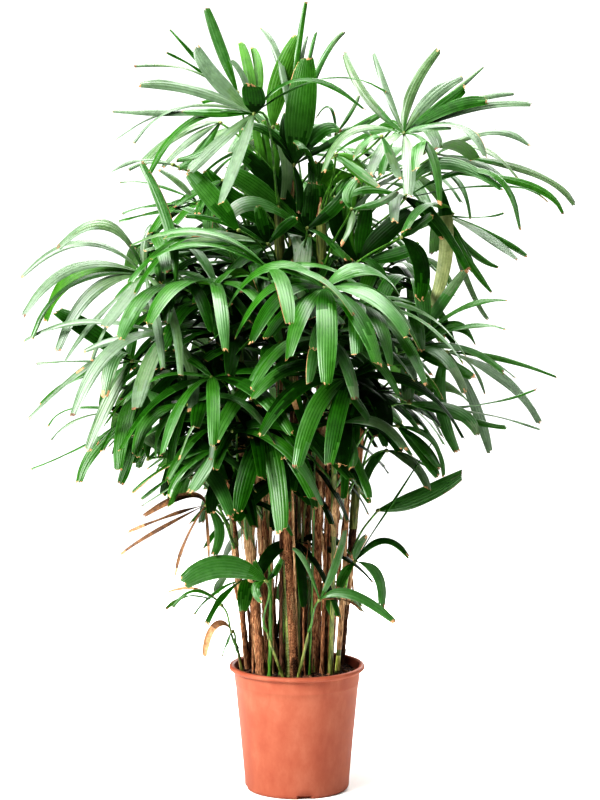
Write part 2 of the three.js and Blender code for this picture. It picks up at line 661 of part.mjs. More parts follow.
/** A leaflet of a frond, as the rule deals it, moved a little at each further try. */
function dealLeaflet(frond, index, attempt) {
  const [perFrond, perLeaflet] = DRAWS.leaflet;
  const random = sequence(frond.seed * perFrond + index * perLeaflet);
  const [phiNoise, lengthNoise, widthNoise, riseNoise, droopNoise, twistNoise] =
    Array.from({ length: 6 }, () => random() * 2 - 1);
  const [triedFrond, triedLeaflet, tried] = DRAWS.leafTry;
  const nudge = sequence(frond.seed * triedFrond + index * triedLeaflet + attempt * tried);
  const far = attempt === 0 ? 0 : lerp(LEAF_SHIFT.least, 1, attempt / TRIES);
  const shift = () => (nudge() * 2 - 1) * far;
  const gap = frond.count > 1 ? (2 * frond.spread) / (frond.count - 1) : 0;
  const phi = -frond.spread + gap * (index + VARIATION.angle * phiNoise) + LEAF_SHIFT.angle * shift();
  const rise = (frond.rise ?? LEAFLET.rise) + VARIATION.rise * riseNoise + LEAF_SHIFT.rise * shift();
  const inPlane = frond.forward.clone().multiplyScalar(Math.cos(radians(phi)))
    .addScaledVector(frond.right, Math.sin(radians(phi)));
  const direction = inPlane.clone().multiplyScalar(Math.cos(radians(rise)))
    .addScaledVector(frond.normal, Math.sin(radians(rise)));
  const shorter = 1 - LEAFLET.backShorter * Math.abs(phi / 180);
  const bend = lerp(...LEAFLET.droop, 0.5 + 0.5 * droopNoise) * frond.limp;
  return {
    phi,
    start: frond.hub,
    direction,
    side: direction.clone().cross(frond.normal).normalize(),
    length: frond.length * shorter * (1 + VARIATION.length * lengthNoise),
    width: frond.width * (1 + VARIATION.width * widthNoise),
    droop: Math.max(0, bend + LEAF_SHIFT.droop * shift()),
    twist: radians(VARIATION.twist * twistNoise),
    stations: frond.stations ?? LEAFLET.stations,
  };
}

/** Whether a leaflet keeps beside those of its own frond: its angle and its outer part. */
function apart(leaf, others) {
  const spread = (one) => (180 / Math.PI) * (one.width / (LEAFLET.stations[0] * one.length));
  const beside = (one, other) => {
    const between = Math.abs(one.phi - other.phi);
    return Math.min(between, 360 - between) > (spread(one) + spread(other)) / 2;
  };
  const outer = obstacle('', outerRoom(leaf));
  return others.every((other) => beside(leaf, other) && !meets(outer, obstacle('', outerRoom(other))));
}

/** Whether a leaflet stays off the pot, under the top and, if ruled, in the crown. */
function keepsIn(solid, ruled) {
  return solid.points.every((point) => {
    const [middle, reach] = crownAt(point.z);
    const inside = Math.hypot(point.x - middle, point.y) < reach + CROWN_SLACK;
    return point.z > LOWEST_LEAF && point.z < TOP && (inside || !ruled);
  });
}

/** The lowest and the highest place on a cane for a petiole's foot. */
function footRange(cane) {
  const tip = cane.tip[2];
  const lowest = caneFoot + PETIOLE.soilSpare;
  const shoot = cane.crown ? lowest : Math.max(lowest, tip - CANE.tipShaft + PETIOLE.crownSpare);
  return [shoot, tip - PETIOLE.topSpare];
}

/** Fills in what follows from a frond's place: its axes, its stalk's foot. */
function setOut(spec, seed) {
  const hub = v(...spec.hub);
  const forward = heading(radians(spec.turn), radians(spec.pitch));
  const right = v(Math.sin(radians(spec.turn)), -Math.cos(radians(spec.turn)), 0);
  const normal = right.clone().cross(forward);
  const cane = CANES[spec.cane];
  const [lowest, highest] = footRange(cane);
  const start = caneMiddle(cane, Math.min(hub.z, highest));
  const away = Math.hypot(hub.x - start.x, hub.y - start.y);
  const below = PETIOLE.below + PETIOLE.belowShare * away;
  const attach = THREE.MathUtils.clamp(hub.z - below, lowest, highest);
  const arrive = forward.clone().addScaledVector(UP, PETIOLE.rising).normalize();
  const limp = spec.limp ?? lerp(...LEAFLET.limp, Math.max(0, spec.pitch) / LEAFLET.steep);
  return { ...spec, seed, hub, forward, right, normal, attach, arrive, limp };
}

/** Whether a frond is one piece with its cane's top: on the crown shaft, or on a shoot. */
function isFused(frond) {
  const cane = CANES[frond.cane];
  return !cane.crown || frond.attach > crownStart(cane) + PETIOLE.crownSpare;
}

/** The cane that a ruled frond grows on: near its hub, tall enough and not crowded. */
function caneFor(hub, uses) {
  let best;
  let least = Infinity;
  for (const [name, cane] of Object.entries(CANES)) {
    if (!cane.crown) continue;
    const z = Math.min(hub.z - CANE_CHOICE.below, cane.tip[2] - PETIOLE.topSpare);
    const place = caneMiddle(cane, z);
    const away = Math.hypot(hub.x - place.x, hub.y - place.y);
    const short = Math.max(0, hub.z - z - CANE_CHOICE.below - PETIOLE.belowShare * away);
    const cost = away + CANE_CHOICE.short * short + CANE_CHOICE.used * (uses[name] ?? 0);
    if (cost < least) {
      least = cost;
      best = name;
    }
  }
  return best;
}

/** All fronds: those with a place of their own, then the rings by rule. */
function dealFronds() {
  const fronds = OWN_FRONDS.map((spec, k) => setOut(spec, OWN_SEED + k));
  const uses = {};
  for (const frond of fronds) uses[frond.cane] = (uses[frond.cane] ?? 0) + 1;
  for (const ring of Object.values(RINGS)) {
    for (let k = 0; k < ring.count; k += 1) {
      const random = sequence(ring.seed + k);
      const share = (k + 0.5) / ring.count;
      const z = lerp(...ring.heights, share) + SCATTER.height * (random() - 0.5);
      const turn = ring.start + k * GOLDEN_ANGLE + SCATTER.place * (random() - 0.5);
      const [middle, reach] = crownAt(z);
      const inset = lerp(...ring.inset, share) + SCATTER.out * random();
      const out = Math.max(LEAST_OUT, reach - inset);
      const hub = [middle + out * Math.cos(radians(turn)), out * Math.sin(radians(turn)), z];
      const spec = {
        hub,
        ruled: true,
        stations: ring.stations,
        turn: turn + SCATTER.turn * (random() - 0.5),
        pitch: lerp(...ring.pitch, share) + SCATTER.pitch * (random() - 0.5),
        count: Math.round(lerp(...ring.counts, random())),
        spread: ring.spread + SCATTER.spread * (random() - 0.5),
        length: lerp(...ring.length, random()),
        width: lerp(...ring.width, random()),
      };
      if (fronds.some((other) => other.hub.distanceTo(v(...hub)) < HUB_SPACING)) continue;
      spec.cane = caneFor(v(...hub), uses);
      uses[spec.cane] = (uses[spec.cane] ?? 0) + 1;
      fronds.push(setOut(spec, ring.seed + k));
    }
  }
  return fronds;
}

/** A frond as it is tried: as dealt at first, then with its hub and foot moved. */
function moveFrond(frond, attempt) {
  const moved = { ...frond, hub: frond.hub.clone() };
  if (attempt === 0) return moved;
  const random = sequence(frond.seed * DRAWS.hubTry + attempt);
  const way = v(random() - 0.5, random() - 0.5, random() - 0.5);
  moved.hub.addScaledVector(way, HUB_SHIFT.first + HUB_SHIFT.more * attempt);
  const [lowest] = footRange(CANES[frond.cane]);
  moved.attach = Math.max(lowest, frond.attach - HUB_SHIFT.down * random());
  return moved;
}

/** Settles each frond's stalk, then its leaflets, clear of all that already stands. */
function placeFronds() {
  const standing = Object.entries(CANES).map(([name, cane]) => (
    obstacle(name, caneStretch(cane, caneFoot, cane.tip[2], CANE.steps))
  ));
  const isClear = (solid, mine) => {
    const piece = obstacle('', solid);
    return !standing.some((other) => other.owner !== mine && meets(piece, other));
  };
  const placed = [];
  for (const dealt of dealFronds()) {
    for (let attempt = 0; attempt < TRIES; attempt += 1) {
      const frond = moveFrond(dealt, attempt);
      if (!isClear(petioleSolid(frond, CLEARANCE), frond.cane)) continue;
      frond.owner = `${frond.cane} ${placed.length}`;
      standing.push(obstacle(frond.owner, petioleSolid(frond, 0)));
      placed.push(frond);
      break;
    }
  }
  for (const frond of placed) {
    frond.leaflets = [];
    for (let k = 0; k < frond.count; k += 1) {
      for (let attempt = 0; attempt < TRIES; attempt += 1) {
        const leaf = dealLeaflet(frond, k, attempt);
        const room = leafletRoom(leaf, CLEARANCE);
        if (!apart(leaf, frond.leaflets) || !keepsIn(room, frond.ruled)) continue;
        if (!isClear(room, frond.owner)) continue;
        standing.push(obstacle(frond.owner, leafletRoom(leaf, 0)));
        frond.leaflets.push(leaf);
        break;
      }
    }
  }
  return placed.filter((frond) => frond.leaflets.length > 1);
}

const frondSolids = (frond) => [petioleSolid(frond, 0), bladeSolid(frond)];

// ---------------------------------------------------------------- the whole plant

const potPlastic = new THREE.MeshStandardMaterial({ color: '#d9805a', roughness: 0.55, metalness: 0 });
const barkMulch = new THREE.MeshStandardMaterial({ color: '#3a2a20', roughness: 0.95, metalness: 0 });
const caneFibre = new THREE.MeshStandardMaterial({ color: '#7a5a42', roughness: 0.85, metalness: 0 });
const greenCane = new THREE.MeshStandardMaterial({ color: '#6f8a3c', roughness: 0.5, metalness: 0 });
const leafGreen = new THREE.MeshStandardMaterial({ color: '#3f7d34', roughness: 0.4, metalness: 0 });

const plant = new THREE.Group();

function show(name, solid, material) {
  const mesh = new THREE.Mesh(toGeometry(solid), material);
  mesh.name = name;
  plant.add(mesh);
}

show('pot', makePot(), potPlastic);
show('soil', makeSoil(), barkMulch);

const crowns = {};
let singles = 0;
for (const frond of placeFronds()) {
  if (isFused(frond)) {
    (crowns[frond.cane] ??= []).push(...frondSolids(frond));
  } else {
    singles += 1;
    show(`frond_${String(singles).padStart(2, '0')}`, fuse(frondSolids(frond)), leafGreen);
  }
}
for (const [name, cane] of Object.entries(CANES)) {
  const tip = cane.tip[2];
  const split = crowns[name] && !cane.crown ? tip - CANE.tipShaft : crownStart(cane);
  const material = cane.radii[0] < CANE.youngRadius ? greenCane : caneFibre;
  show(`cane_${name}`, fuse([caneStretch(cane, caneFoot, split - CLEAR / 2, CANE.steps)]), material);
  if (crowns[name]) {
    const shaft = caneStretch(cane, split + CLEAR / 2, tip, CANE.crownSteps);
    show(`crown_${name}`, fuse([shaft, ...crowns[name]]), leafGreen);
  }
}

export default plant;
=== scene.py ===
"""A lady palm (Rhapis) in a terracotta-coloured nursery pot, dressed around its solids.

The canes, stalks and leaflets are dealt again by the rule that the solids are dealt by, and
the solids' corners tell which of them stand. Leaflets that would close open places of the
crown are then taken off, others get places of their own by the pixels at which the camera
sees them, and further fronds fill the crown. All of it is made as fine as the plant. Sizes are
in millimetres and degrees, +Z up; everything handed to Blender is in metres.
"""
import logging
import math
from dataclasses import dataclass, field, replace
from enum import Enum
from typing import Iterable, Sequence

import bpy
import numpy as np
from mathutils import Euler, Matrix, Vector
from mathutils.kdtree import KDTree


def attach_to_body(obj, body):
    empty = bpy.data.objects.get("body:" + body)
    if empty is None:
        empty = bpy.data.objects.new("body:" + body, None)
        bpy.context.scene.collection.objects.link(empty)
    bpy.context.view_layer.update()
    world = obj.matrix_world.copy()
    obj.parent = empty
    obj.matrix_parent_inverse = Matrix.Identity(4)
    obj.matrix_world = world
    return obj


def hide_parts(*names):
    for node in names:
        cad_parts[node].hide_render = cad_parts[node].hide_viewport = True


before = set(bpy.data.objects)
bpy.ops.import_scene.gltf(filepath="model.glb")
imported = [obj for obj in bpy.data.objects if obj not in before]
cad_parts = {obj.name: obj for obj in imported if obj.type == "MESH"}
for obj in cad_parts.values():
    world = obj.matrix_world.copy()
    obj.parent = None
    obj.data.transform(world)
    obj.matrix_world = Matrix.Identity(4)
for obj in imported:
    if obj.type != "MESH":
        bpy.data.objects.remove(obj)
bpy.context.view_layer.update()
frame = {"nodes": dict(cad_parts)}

log = logging.getLogger("lady_palm")

MM = 0.001
ROOT = "root"
UP = np.array((0.0, 0.0, 1.0))
GOLDEN_ANGLE = 137.508


# ---------------------------------------------------------------- numbers and vectors

MASK = 0xFFFFFFFF


class Draws:
    """A repeatable run of numbers from 0 to 1, the same run that the solids are dealt by."""

    def __init__(self, seed: int) -> None:
        """Starts the run at a seed."""
        self.state = seed & MASK

    def next(self) -> float:
        """The next number of the run."""
        self.state = (self.state + 0x6D2B79F5) & MASK
        turned = ((self.state ^ (self.state >> 15)) * (self.state | 1)) & MASK
        turned = ((turned + (turned ^ (turned >> 7)) * (turned | 61)) & MASK) ^ turned
        return ((turned ^ (turned >> 14)) & MASK) / 4294967296


def lerp(low: float, high: float, share: float) -> float:
    """The value a share of the way from low to high."""
    return (1 - share) * low + share * high


def unit(vector: np.ndarray) -> np.ndarray:
    """Each row of an array of vectors at length 1."""
    return vector / np.linalg.norm(vector, axis=-1, keepdims=True)


def heading(turn: float, pitch: float) -> np.ndarray:
    """The direction at a turn about +Z from +X and a pitch above level, in radians."""
    flat = math.cos(pitch)
    return np.array((math.cos(turn) * flat, math.sin(turn) * flat, math.sin(pitch)))


def right_of(way: np.ndarray) -> np.ndarray:
    """The level direction to the right of a heading."""
    return unit(np.array((way[1], -way[0], 0.0)))


def linear(code: str) -> tuple[float, float, float, float]:
    """An sRGB hex colour such as '#3f7d34' as linear red, green, blue and alpha."""
    shares = (int(code[k:k + 2], 16) / 255 for k in (1, 3, 5))
    return (*(s / 12.92 if s <= 0.04045 else ((s + 0.055) / 1.055) ** 2.4 for s in shares), 1.0)


# ---------------------------------------------------------------- finishes

def add_node(
    tree: bpy.types.NodeTree,
    kind: str,
    settings: dict[str, object] | None = None,
    links: dict[str, bpy.types.NodeSocket] | None = None,
) -> bpy.types.Node:
    """Adds one node with its settings and links.

    Args:
        tree: the material's or world's node tree.
        kind: the node's type name.
        settings: values by socket or property name; 'stops' fills a colour ramp.
        links: the output that feeds each named input.

    Returns:
        The new node.
    """
    node = tree.nodes.new(kind)
    for name, value in (settings or {}).items():
        if name == "stops":
            elements = node.color_ramp.elements
            while len(elements) < len(value):
                elements.new(1.0)
            for element, (place, colour) in zip(elements, value):
                element.position, element.color = place, colour
        elif name in node.inputs:
            node.inputs[name].default_value = value
        else:
            setattr(node, name, value)
    for name, source in (links or {}).items():
        tree.links.new(source, node.inputs[name])
    return node


@dataclass(frozen=True)
class Finish:
    """How one surface is made: its colours, the grain they lie in, its gloss and relief."""

    name: str
    colours: tuple[str, ...]                 # from the hollows of the grain to its tops
    grain: tuple[float, float, float]        # size of the grain along X, Y and Z, mm
    roughness: tuple[float, float]           # in the hollows and on the tops
    ior: float = 1.5
    relief: float = 0.0                      # height of the grain, mm
    specular: float = 0.5
    coat: float = 0.0
    coat_roughness: float = 0.3
    detail: float = 3.0

    def make(self) -> bpy.types.Material:
        """Builds the material.

        Returns:
            A node material with noise of the grain's size in colour, gloss and relief.
        """
        material = bpy.data.materials.new(self.name)
        material.use_nodes = True
        tree = material.node_tree
        tree.nodes.clear()
        place = add_node(tree, "ShaderNodeTexCoord")
        scale = tuple(1 / (MM * size) for size in self.grain)
        sized = add_node(tree, "ShaderNodeMapping", {"Scale": scale},
                         {"Vector": place.outputs["Object"]})
        grain = add_node(tree, "ShaderNodeTexNoise",
                         {"Scale": 1.0, "Detail": self.detail, "Roughness": 0.6},
                         {"Vector": sized.outputs["Vector"]})
        low, high = 0.34, 0.66               # where most of the noise lies
        last = len(self.colours) - 1
        stops = [(lerp(low, high, k / max(1, last)), linear(code))
                 for k, code in enumerate(self.colours)]
        colour = add_node(tree, "ShaderNodeValToRGB", {"stops": stops},
                          {"Fac": grain.outputs["Fac"]})
        gloss = add_node(tree, "ShaderNodeMapRange",
                         {"From Min": low, "From Max": high,
                          "To Min": self.roughness[0], "To Max": self.roughness[1]},
                         {"Value": grain.outputs["Fac"]})
        links = {"Base Color": colour.outputs["Color"], "Roughness": gloss.outputs["Result"]}
        if self.relief:
            bump = add_node(tree, "ShaderNodeBump",
                            {"Strength": 1.0, "Distance": self.relief * MM},
                            {"Height": grain.outputs["Fac"]})
            links["Normal"] = bump.outputs["Normal"]
        shader = add_node(tree, "ShaderNodeBsdfPrincipled",
                          {"IOR": self.ior, "Specular IOR Level": self.specular,
                           "Coat Weight": self.coat, "Coat Roughness": self.coat_roughness},
                          links)
        add_node(tree, "ShaderNodeOutputMaterial", {}, {"Surface": shader.outputs["BSDF"]})
        return material


# Polypropylene, injection moulded and a little scuffed: even colour with a soft satin gloss
# that breaks up in faint clouds.
POT_PLASTIC = Finish("moulded_polypropylene", ("#874936", "#8d513d", "#945a46"),
                     (34, 34, 60), (0.5, 0.64), ior=1.49, relief=0.05, specular=0.2, detail=5)
# Composted bark: almost black and matte, with no highlight of its own.
MULCH_SOIL = Finish("composted_bark", ("#1a100a", "#2c1c12", "#46301f"),
                    (5, 5, 5), (0.85, 0.98), ior=1.5, relief=1.2, specular=0.3, detail=5)
# Chips of pine bark, split along the grain: dark, red-brown and pale broken faces.
CHIP_DARK = Finish("bark_chip_dark", ("#20130c", "#38231a"), (3, 3, 3), (0.8, 0.95), relief=0.5)
CHIP_RED = Finish("bark_chip_red", ("#3c2216", "#5c3826"), (3, 3, 3), (0.75, 0.95), relief=0.5)
CHIP_PALE = Finish("bark_chip_pale", ("#5d412b", "#8a6646"), (3, 3, 3), (0.75, 0.9), relief=0.5)
# Leaf-base fibre wound round the cane: dull strands that run along it, brown over dark.
FIBRE_BROWN = Finish("cane_fibre_brown", ("#2a180d", "#7c553c", "#b48966"),
                     (1.7, 1.7, 15), (0.75, 0.95), relief=0.9, specular=0.15, detail=5)
FIBRE_DARK = Finish("cane_fibre_dark", ("#150b06", "#452d20", "#745643"),
                    (1.7, 1.7, 13), (0.8, 0.95), relief=0.9, specular=0.15, detail=5)
FIBRE_TAN = Finish("cane_fibre_tan", ("#543a26", "#917152", "#c3a480"),
                   (2.0, 2.0, 22), (0.6, 0.85), relief=0.5, specular=0.25, detail=4)
# Living sheath and young cane: smooth skin with a dull wax, streaked along its length.
SHEATH_GREEN = Finish("cane_sheath_green", ("#303c15", "#555f28", "#86884b"),
                      (3, 3, 40), (0.42, 0.6), relief=0.15, detail=3)
CANE_YELLOW = Finish("ringed_cane_yellow", ("#8d9a44", "#b1b763", "#cdc98a"),
                     (4, 4, 30), (0.35, 0.5), relief=0.1, detail=3)
STALK_GREEN = Finish("leaf_stalk_green", ("#1e3b0d", "#37601a", "#5a8430"),
                     (4, 4, 40), (0.35, 0.5), relief=0.1, detail=3)


class Tone(Enum):
    """The finishes of a leaf's faces, in the order of the leaf meshes' material slots."""

    # Waxed upper skin: a soft, broad gloss over the green of the blade, in tones from dark to
    # pale. The darker tones are painted shade for leaves deep in the crown, the paler ones and
    # MINT a painted sheen for leaves at its edge; the tones also differ at random and from leaves
    # that have hardened to the newest ones.
    SHADE = Finish("leaf_shade", ("#071d00", "#0b2a00"), (14, 14, 14), (0.36, 0.46), ior=1.45,
                   specular=0.08)
    DEEP = Finish("leaf_deep", ("#123800", "#1a4703"), (14, 14, 14), (0.36, 0.46), ior=1.45,
                   specular=0.13, coat=0.05, coat_roughness=0.45)
    MID = Finish("leaf_mid", ("#224e08", "#2c5a12"), (14, 14, 14), (0.36, 0.46), ior=1.47,
                   specular=0.3, coat=0.12, coat_roughness=0.4)
    FRESH = Finish("leaf_fresh", ("#2b5420", "#37602a"), (14, 14, 14), (0.36, 0.46), ior=1.47,
                   coat=0.16, coat_roughness=0.38)
    PALE = Finish("leaf_pale", ("#435836", "#4f6641"), (14, 14, 14), (0.4, 0.5), ior=1.47,
                   coat=0.2, coat_roughness=0.38)
    MINT = Finish("leaf_painted_sheen", ("#475a43", "#546a4f"), (14, 14, 14), (0.4, 0.5), ior=1.47,
                   coat=0.2, coat_roughness=0.38)
    # Underside, without wax: lighter, yellower and duller; its light yellow-green is partly painted
    # light shining through the blade.
    UNDER = Finish("leaf_underside", ("#2c560a", "#3a6815"), (14, 14, 14), (0.5, 0.62), ior=1.45,
                   specular=0.3)
    # Dead tissue: papery tan at a tip, brown where it is older.
    TAN = Finish("leaf_tip_tan", ("#866444", "#b28b66"), (6, 6, 6), (0.6, 0.8), ior=1.45)
    BROWN = Finish("leaf_dry_brown", ("#4a3120", "#7d5a3a"), (9, 9, 9), (0.6, 0.8), ior=1.45)
    # A dying blade: the green has drained out of it and left a grey straw colour.
    FADED = Finish("leaf_fading", ("#5e693c", "#80875a"), (14, 14, 14), (0.5, 0.65), ior=1.45)


TONES = list(Tone)
SHADE, DEEP, MID, FRESH, PALE, MINT, UNDER, TAN, BROWN, FADED = TONES


# ---------------------------------------------------------------- meshes

class Skin:
    """Gathers the faces of one piece and makes its mesh in one go."""

    def __init__(self, name: str, finishes: Sequence[Finish]) -> None:
        """Starts an empty piece with its finishes, in the order of its material slots."""
        self.name = name
        self.finishes = finishes
        self.points: list[np.ndarray] = []
        self.rims: list[np.ndarray] = []
        self.faces: list[np.ndarray] = []
        self.slots: list[np.ndarray] = []
        self.total = 0

    def add(self, points: np.ndarray, quads: np.ndarray, slots: np.ndarray | int,
            rim: np.ndarray | None = None) -> None:
        """Adds faces.

        Args:
            points: corners in millimetres, one row each.
            quads: four corners a face, counted from this call's first; a triangle repeats
                its last corner.
            slots: the material slot of each face, or of all.
            rim: which corners lie on a sharp edge.
        """
        self.points.append(points.reshape(-1, 3))
        self.rims.append(np.zeros(len(self.points[-1]), bool) if rim is None else rim.ravel())
        self.faces.append(quads.reshape(-1, 4) + self.total)
        self.slots.append(np.broadcast_to(slots, len(self.faces[-1])))
        self.total += len(self.points[-1])

    def sheet(self, grid: np.ndarray, normals: np.ndarray, thickness: float,
              top: np.ndarray | int, low: np.ndarray | int) -> None:
        """Adds a thin sheet with two skins that meet in its edge.

        Args:
            grid: rows and columns of points on the upper skin.
            normals: the way up at each point.
            thickness: in millimetres.
            top: material slot of each upper face, or of all.
            low: material slot of each face of the underside, or of all.
        """
        rows, columns = grid.shape[:2]
        order = np.arange(rows * columns).reshape(rows, columns)
        inner = np.zeros((rows, columns), bool)
        inner[1:-1, 1:-1] = True
        under = order.copy()
        under[inner] = rows * columns + np.arange(inner.sum())
        below = (grid - normals * thickness)[inner]
        points = np.concatenate([grid.reshape(-1, 3), below])

        def quads(index: np.ndarray) -> np.ndarray:
            """The corners of each face of a grid of point numbers."""
            return np.stack([index[:-1, :-1], index[:-1, 1:], index[1:, 1:], index[1:, :-1]], -1)

        rim = np.concatenate([~inner.ravel(), np.zeros(len(below), bool)])
        count = (rows - 1) * (columns - 1)
        self.add(points, np.concatenate([quads(order).reshape(-1, 4),
                                         quads(under)[..., ::-1].reshape(-1, 4)]),
                 np.concatenate([np.broadcast_to(np.ravel(top), count),
                                 np.broadcast_to(np.ravel(low), count)]), rim)

    def tube(self, rings: np.ndarray, slots: np.ndarray | int = 0, flat_ends: bool = True) -> None:
        """Adds a closed tube.

        Args:
            rings: rows of points, counter-clockwise seen from the tube's far end.
            slots: material slot of each face of the wall, rows first, or of all.
            flat_ends: whether the ends are sharp cuts.
        """
        rows, sides = rings.shape[:2]
        order = np.arange(rows * sides).reshape(rows, sides)
        around = np.roll(order, -1, axis=1)
        wall = np.stack([order[:-1], around[:-1], around[1:], order[1:]], -1).reshape(-1, 4)
        foot, head = rows * sides, rows * sides + 1
        caps = [np.stack([around[0], order[0], np.full(sides, foot), np.full(sides, foot)], -1),
                np.stack([order[-1], around[-1], np.full(sides, head), np.full(sides, head)], -1)]
        points = np.concatenate([rings.reshape(-1, 3), [rings[0].mean(0), rings[-1].mean(0)]])
        rim = np.zeros(len(points), bool)
        if flat_ends:
            rim[order[0]] = rim[order[-1]] = True
        wall_slots = np.broadcast_to(np.ravel(slots), len(wall))
        self.add(points, np.concatenate([wall, *caps]),
                 np.concatenate([wall_slots, np.full(sides, wall_slots[0]),
                                 np.full(sides, wall_slots[-1])]), rim)

    def finish(self, slot: str, nodes: Iterable[str]) -> None:
        """Makes the piece, which rides on the body.

        Args:
            slot: the record's material slot; not used.
            nodes: the solids that it stands for.
        """
        points = np.concatenate(self.points) * MM
        quads = np.concatenate(self.faces)
        slots = np.concatenate(self.slots).astype(np.int32)
        is_triangle = quads[:, 2] == quads[:, 3]
        sizes = np.where(is_triangle, 3, 4)
        keep = np.ones(quads.shape, bool)
        keep[is_triangle, 3] = False
        mesh = bpy.data.meshes.new(self.name)
        mesh.vertices.add(len(points))
        mesh.vertices.foreach_set("co", points.ravel().astype(np.float32))
        mesh.loops.add(int(sizes.sum()))
        mesh.loops.foreach_set("vertex_index", quads[keep].astype(np.int32))
        mesh.polygons.add(len(quads))
        starts = np.concatenate([[0], np.cumsum(sizes)[:-1]])
        mesh.polygons.foreach_set("loop_start", starts.astype(np.int32))
        for finish in self.finishes:
            mesh.materials.append(material_of(finish))
        mesh.polygons.foreach_set("material_index", slots)
        mesh.polygons.foreach_set("use_smooth", np.ones(len(quads), bool))
        mesh.update(calc_edges=True)
        ends = np.empty(2 * len(mesh.edges), np.int32)
        mesh.edges.foreach_get("vertices", ends)
        rim = np.concatenate(self.rims)
        mesh.edges.foreach_set("use_edge_sharp", rim[ends.reshape(-1, 2)].all(axis=1))
        mesh.validate()
        piece = bpy.data.objects.new(self.name, mesh)
        bpy.context.scene.collection.objects.link(piece)
        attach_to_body(piece, ROOT)
        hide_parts(*nodes)
        triangles = int((sizes - 2).sum())
        log.info("%s: %d triangles, %s", self.name, triangles, [f.name for f in self.finishes])


MATERIALS: dict[str, bpy.types.Material] = {}


def material_of(finish: Finish) -> bpy.types.Material:
    """The material of a finish, made once."""
    if finish.name not in MATERIALS:
        MATERIALS[finish.name] = finish.make()
    return MATERIALS[finish.name]


def round_rings(middles: np.ndarray, ways: np.ndarray, radii: np.ndarray, sides: int) -> np.ndarray:
    """Rings of points round a line.

    Args:
        middles: the line's points.
        ways: its direction at each.
        radii: the radius at each, or at each point of each ring.
        sides: points in a ring.

    Returns:
        An array of rings, counter-clockwise seen from the line's end.
    """
    angles = np.linspace(0, 2 * math.pi, sides, endpoint=False)
    first = unit(np.cross(ways, np.array((0.31, 0.12, 0.05)) + UP * (abs(ways[0][2]) < 0.9)))
    for k in range(1, len(first)):           # carried along, so that the tube doesn't wind
        first[k] = first[k - 1] - ways[k] * (first[k - 1] @ ways[k])
        first[k] /= np.linalg.norm(first[k])
    second = np.cross(ways, first)
    wide = np.broadcast_to(np.asarray(radii).reshape(len(middles), -1), (len(middles), sides))
    return (middles[:, None]
            + first[:, None] * (np.cos(angles) * wide)[..., None]
            + second[:, None] * (np.sin(angles) * wide)[..., None])


# ---------------------------------------------------------------- the rule of the solids

SOIL_TOP = 236.0
CLEAR = 0.3
FOOT_Z = SOIL_TOP + CLEAR
SEAT = 0.4
CANE_SIDES = 8
CANE_STEPS = 4
CROWN_STEPS = 2
TIP_SHAFT = 30.0         # length of a shoot's top that its fronds grow from
FLARE, FLARE_HEIGHT = 0.22, 30.0
BOW = 0.012              # outward bow as a share of the height


class Bark(Enum):
    """What the surface of a cane is."""

    FIBRE = "brown fibre with old leaf bases"
    WRAPPED = "brown fibre wound round in close rings"
    SHEATH = "pale sheath with green edges"
    DARK = "dark old fibre"
    GREEN = "smooth green skin"
    RINGED = "yellow-green skin with rings"


@dataclass(frozen=True)
class Cane:
    """One cane: foot and tip, radii at both, and where its leafy shaft starts."""

    foot: tuple[float, float]
    tip: tuple[float, float, float]
    radii: tuple[float, float]
    crown: float | None = None
    bark: Bark = Bark.FIBRE

    def split(self) -> float:
        """Height at which the leafy shaft starts, or the tip's where there is none."""
        return lerp(FOOT_Z, self.tip[2], self.crown) if self.crown else self.tip[2]

    def bowed(self, z: np.ndarray) -> np.ndarray:
        """The cane's smooth middle at some heights."""
        share = (z - FOOT_Z) / (self.tip[2] - FOOT_Z)
        bow = BOW * (self.tip[2] - FOOT_Z) * np.sin(math.pi * share)
        away = math.atan2(self.tip[1], self.tip[0])
        return np.stack([lerp(self.foot[0], self.tip[0], share) + bow * math.cos(away),
                         lerp(self.foot[1], self.tip[1], share) + bow * math.sin(away),
                         z + np.zeros_like(share)], -1)

    def middle(self, z: float) -> np.ndarray:
        """The cane's middle at a height, on the straight stretches of its solid."""
        split, tip = self.split(), self.tip[2]
        knots = [lerp(FOOT_Z, split, k / CANE_STEPS) for k in range(CANE_STEPS)]
        if self.crown:
            knots += [lerp(split, tip, k / CROWN_STEPS) for k in range(CROWN_STEPS)]
        knots.append(tip)
        after = next((k for k, knot in enumerate(knots) if knot >= z), -1)
        low, high = knots[max(1, after) - 1], knots[max(1, after)]
        share = (z - low) / (high - low)
        ends = self.bowed(np.array((low, high)))
        return lerp(ends[0], ends[1], share)

    def radius(self, z: np.ndarray) -> np.ndarray:
        """The cane's radius at some heights, flared at the soil."""
        share = (z - FOOT_Z) / (self.tip[2] - FOOT_Z)
        return lerp(*self.radii, share) * (1 + FLARE * np.exp(-(z - FOOT_Z) / FLARE_HEIGHT))


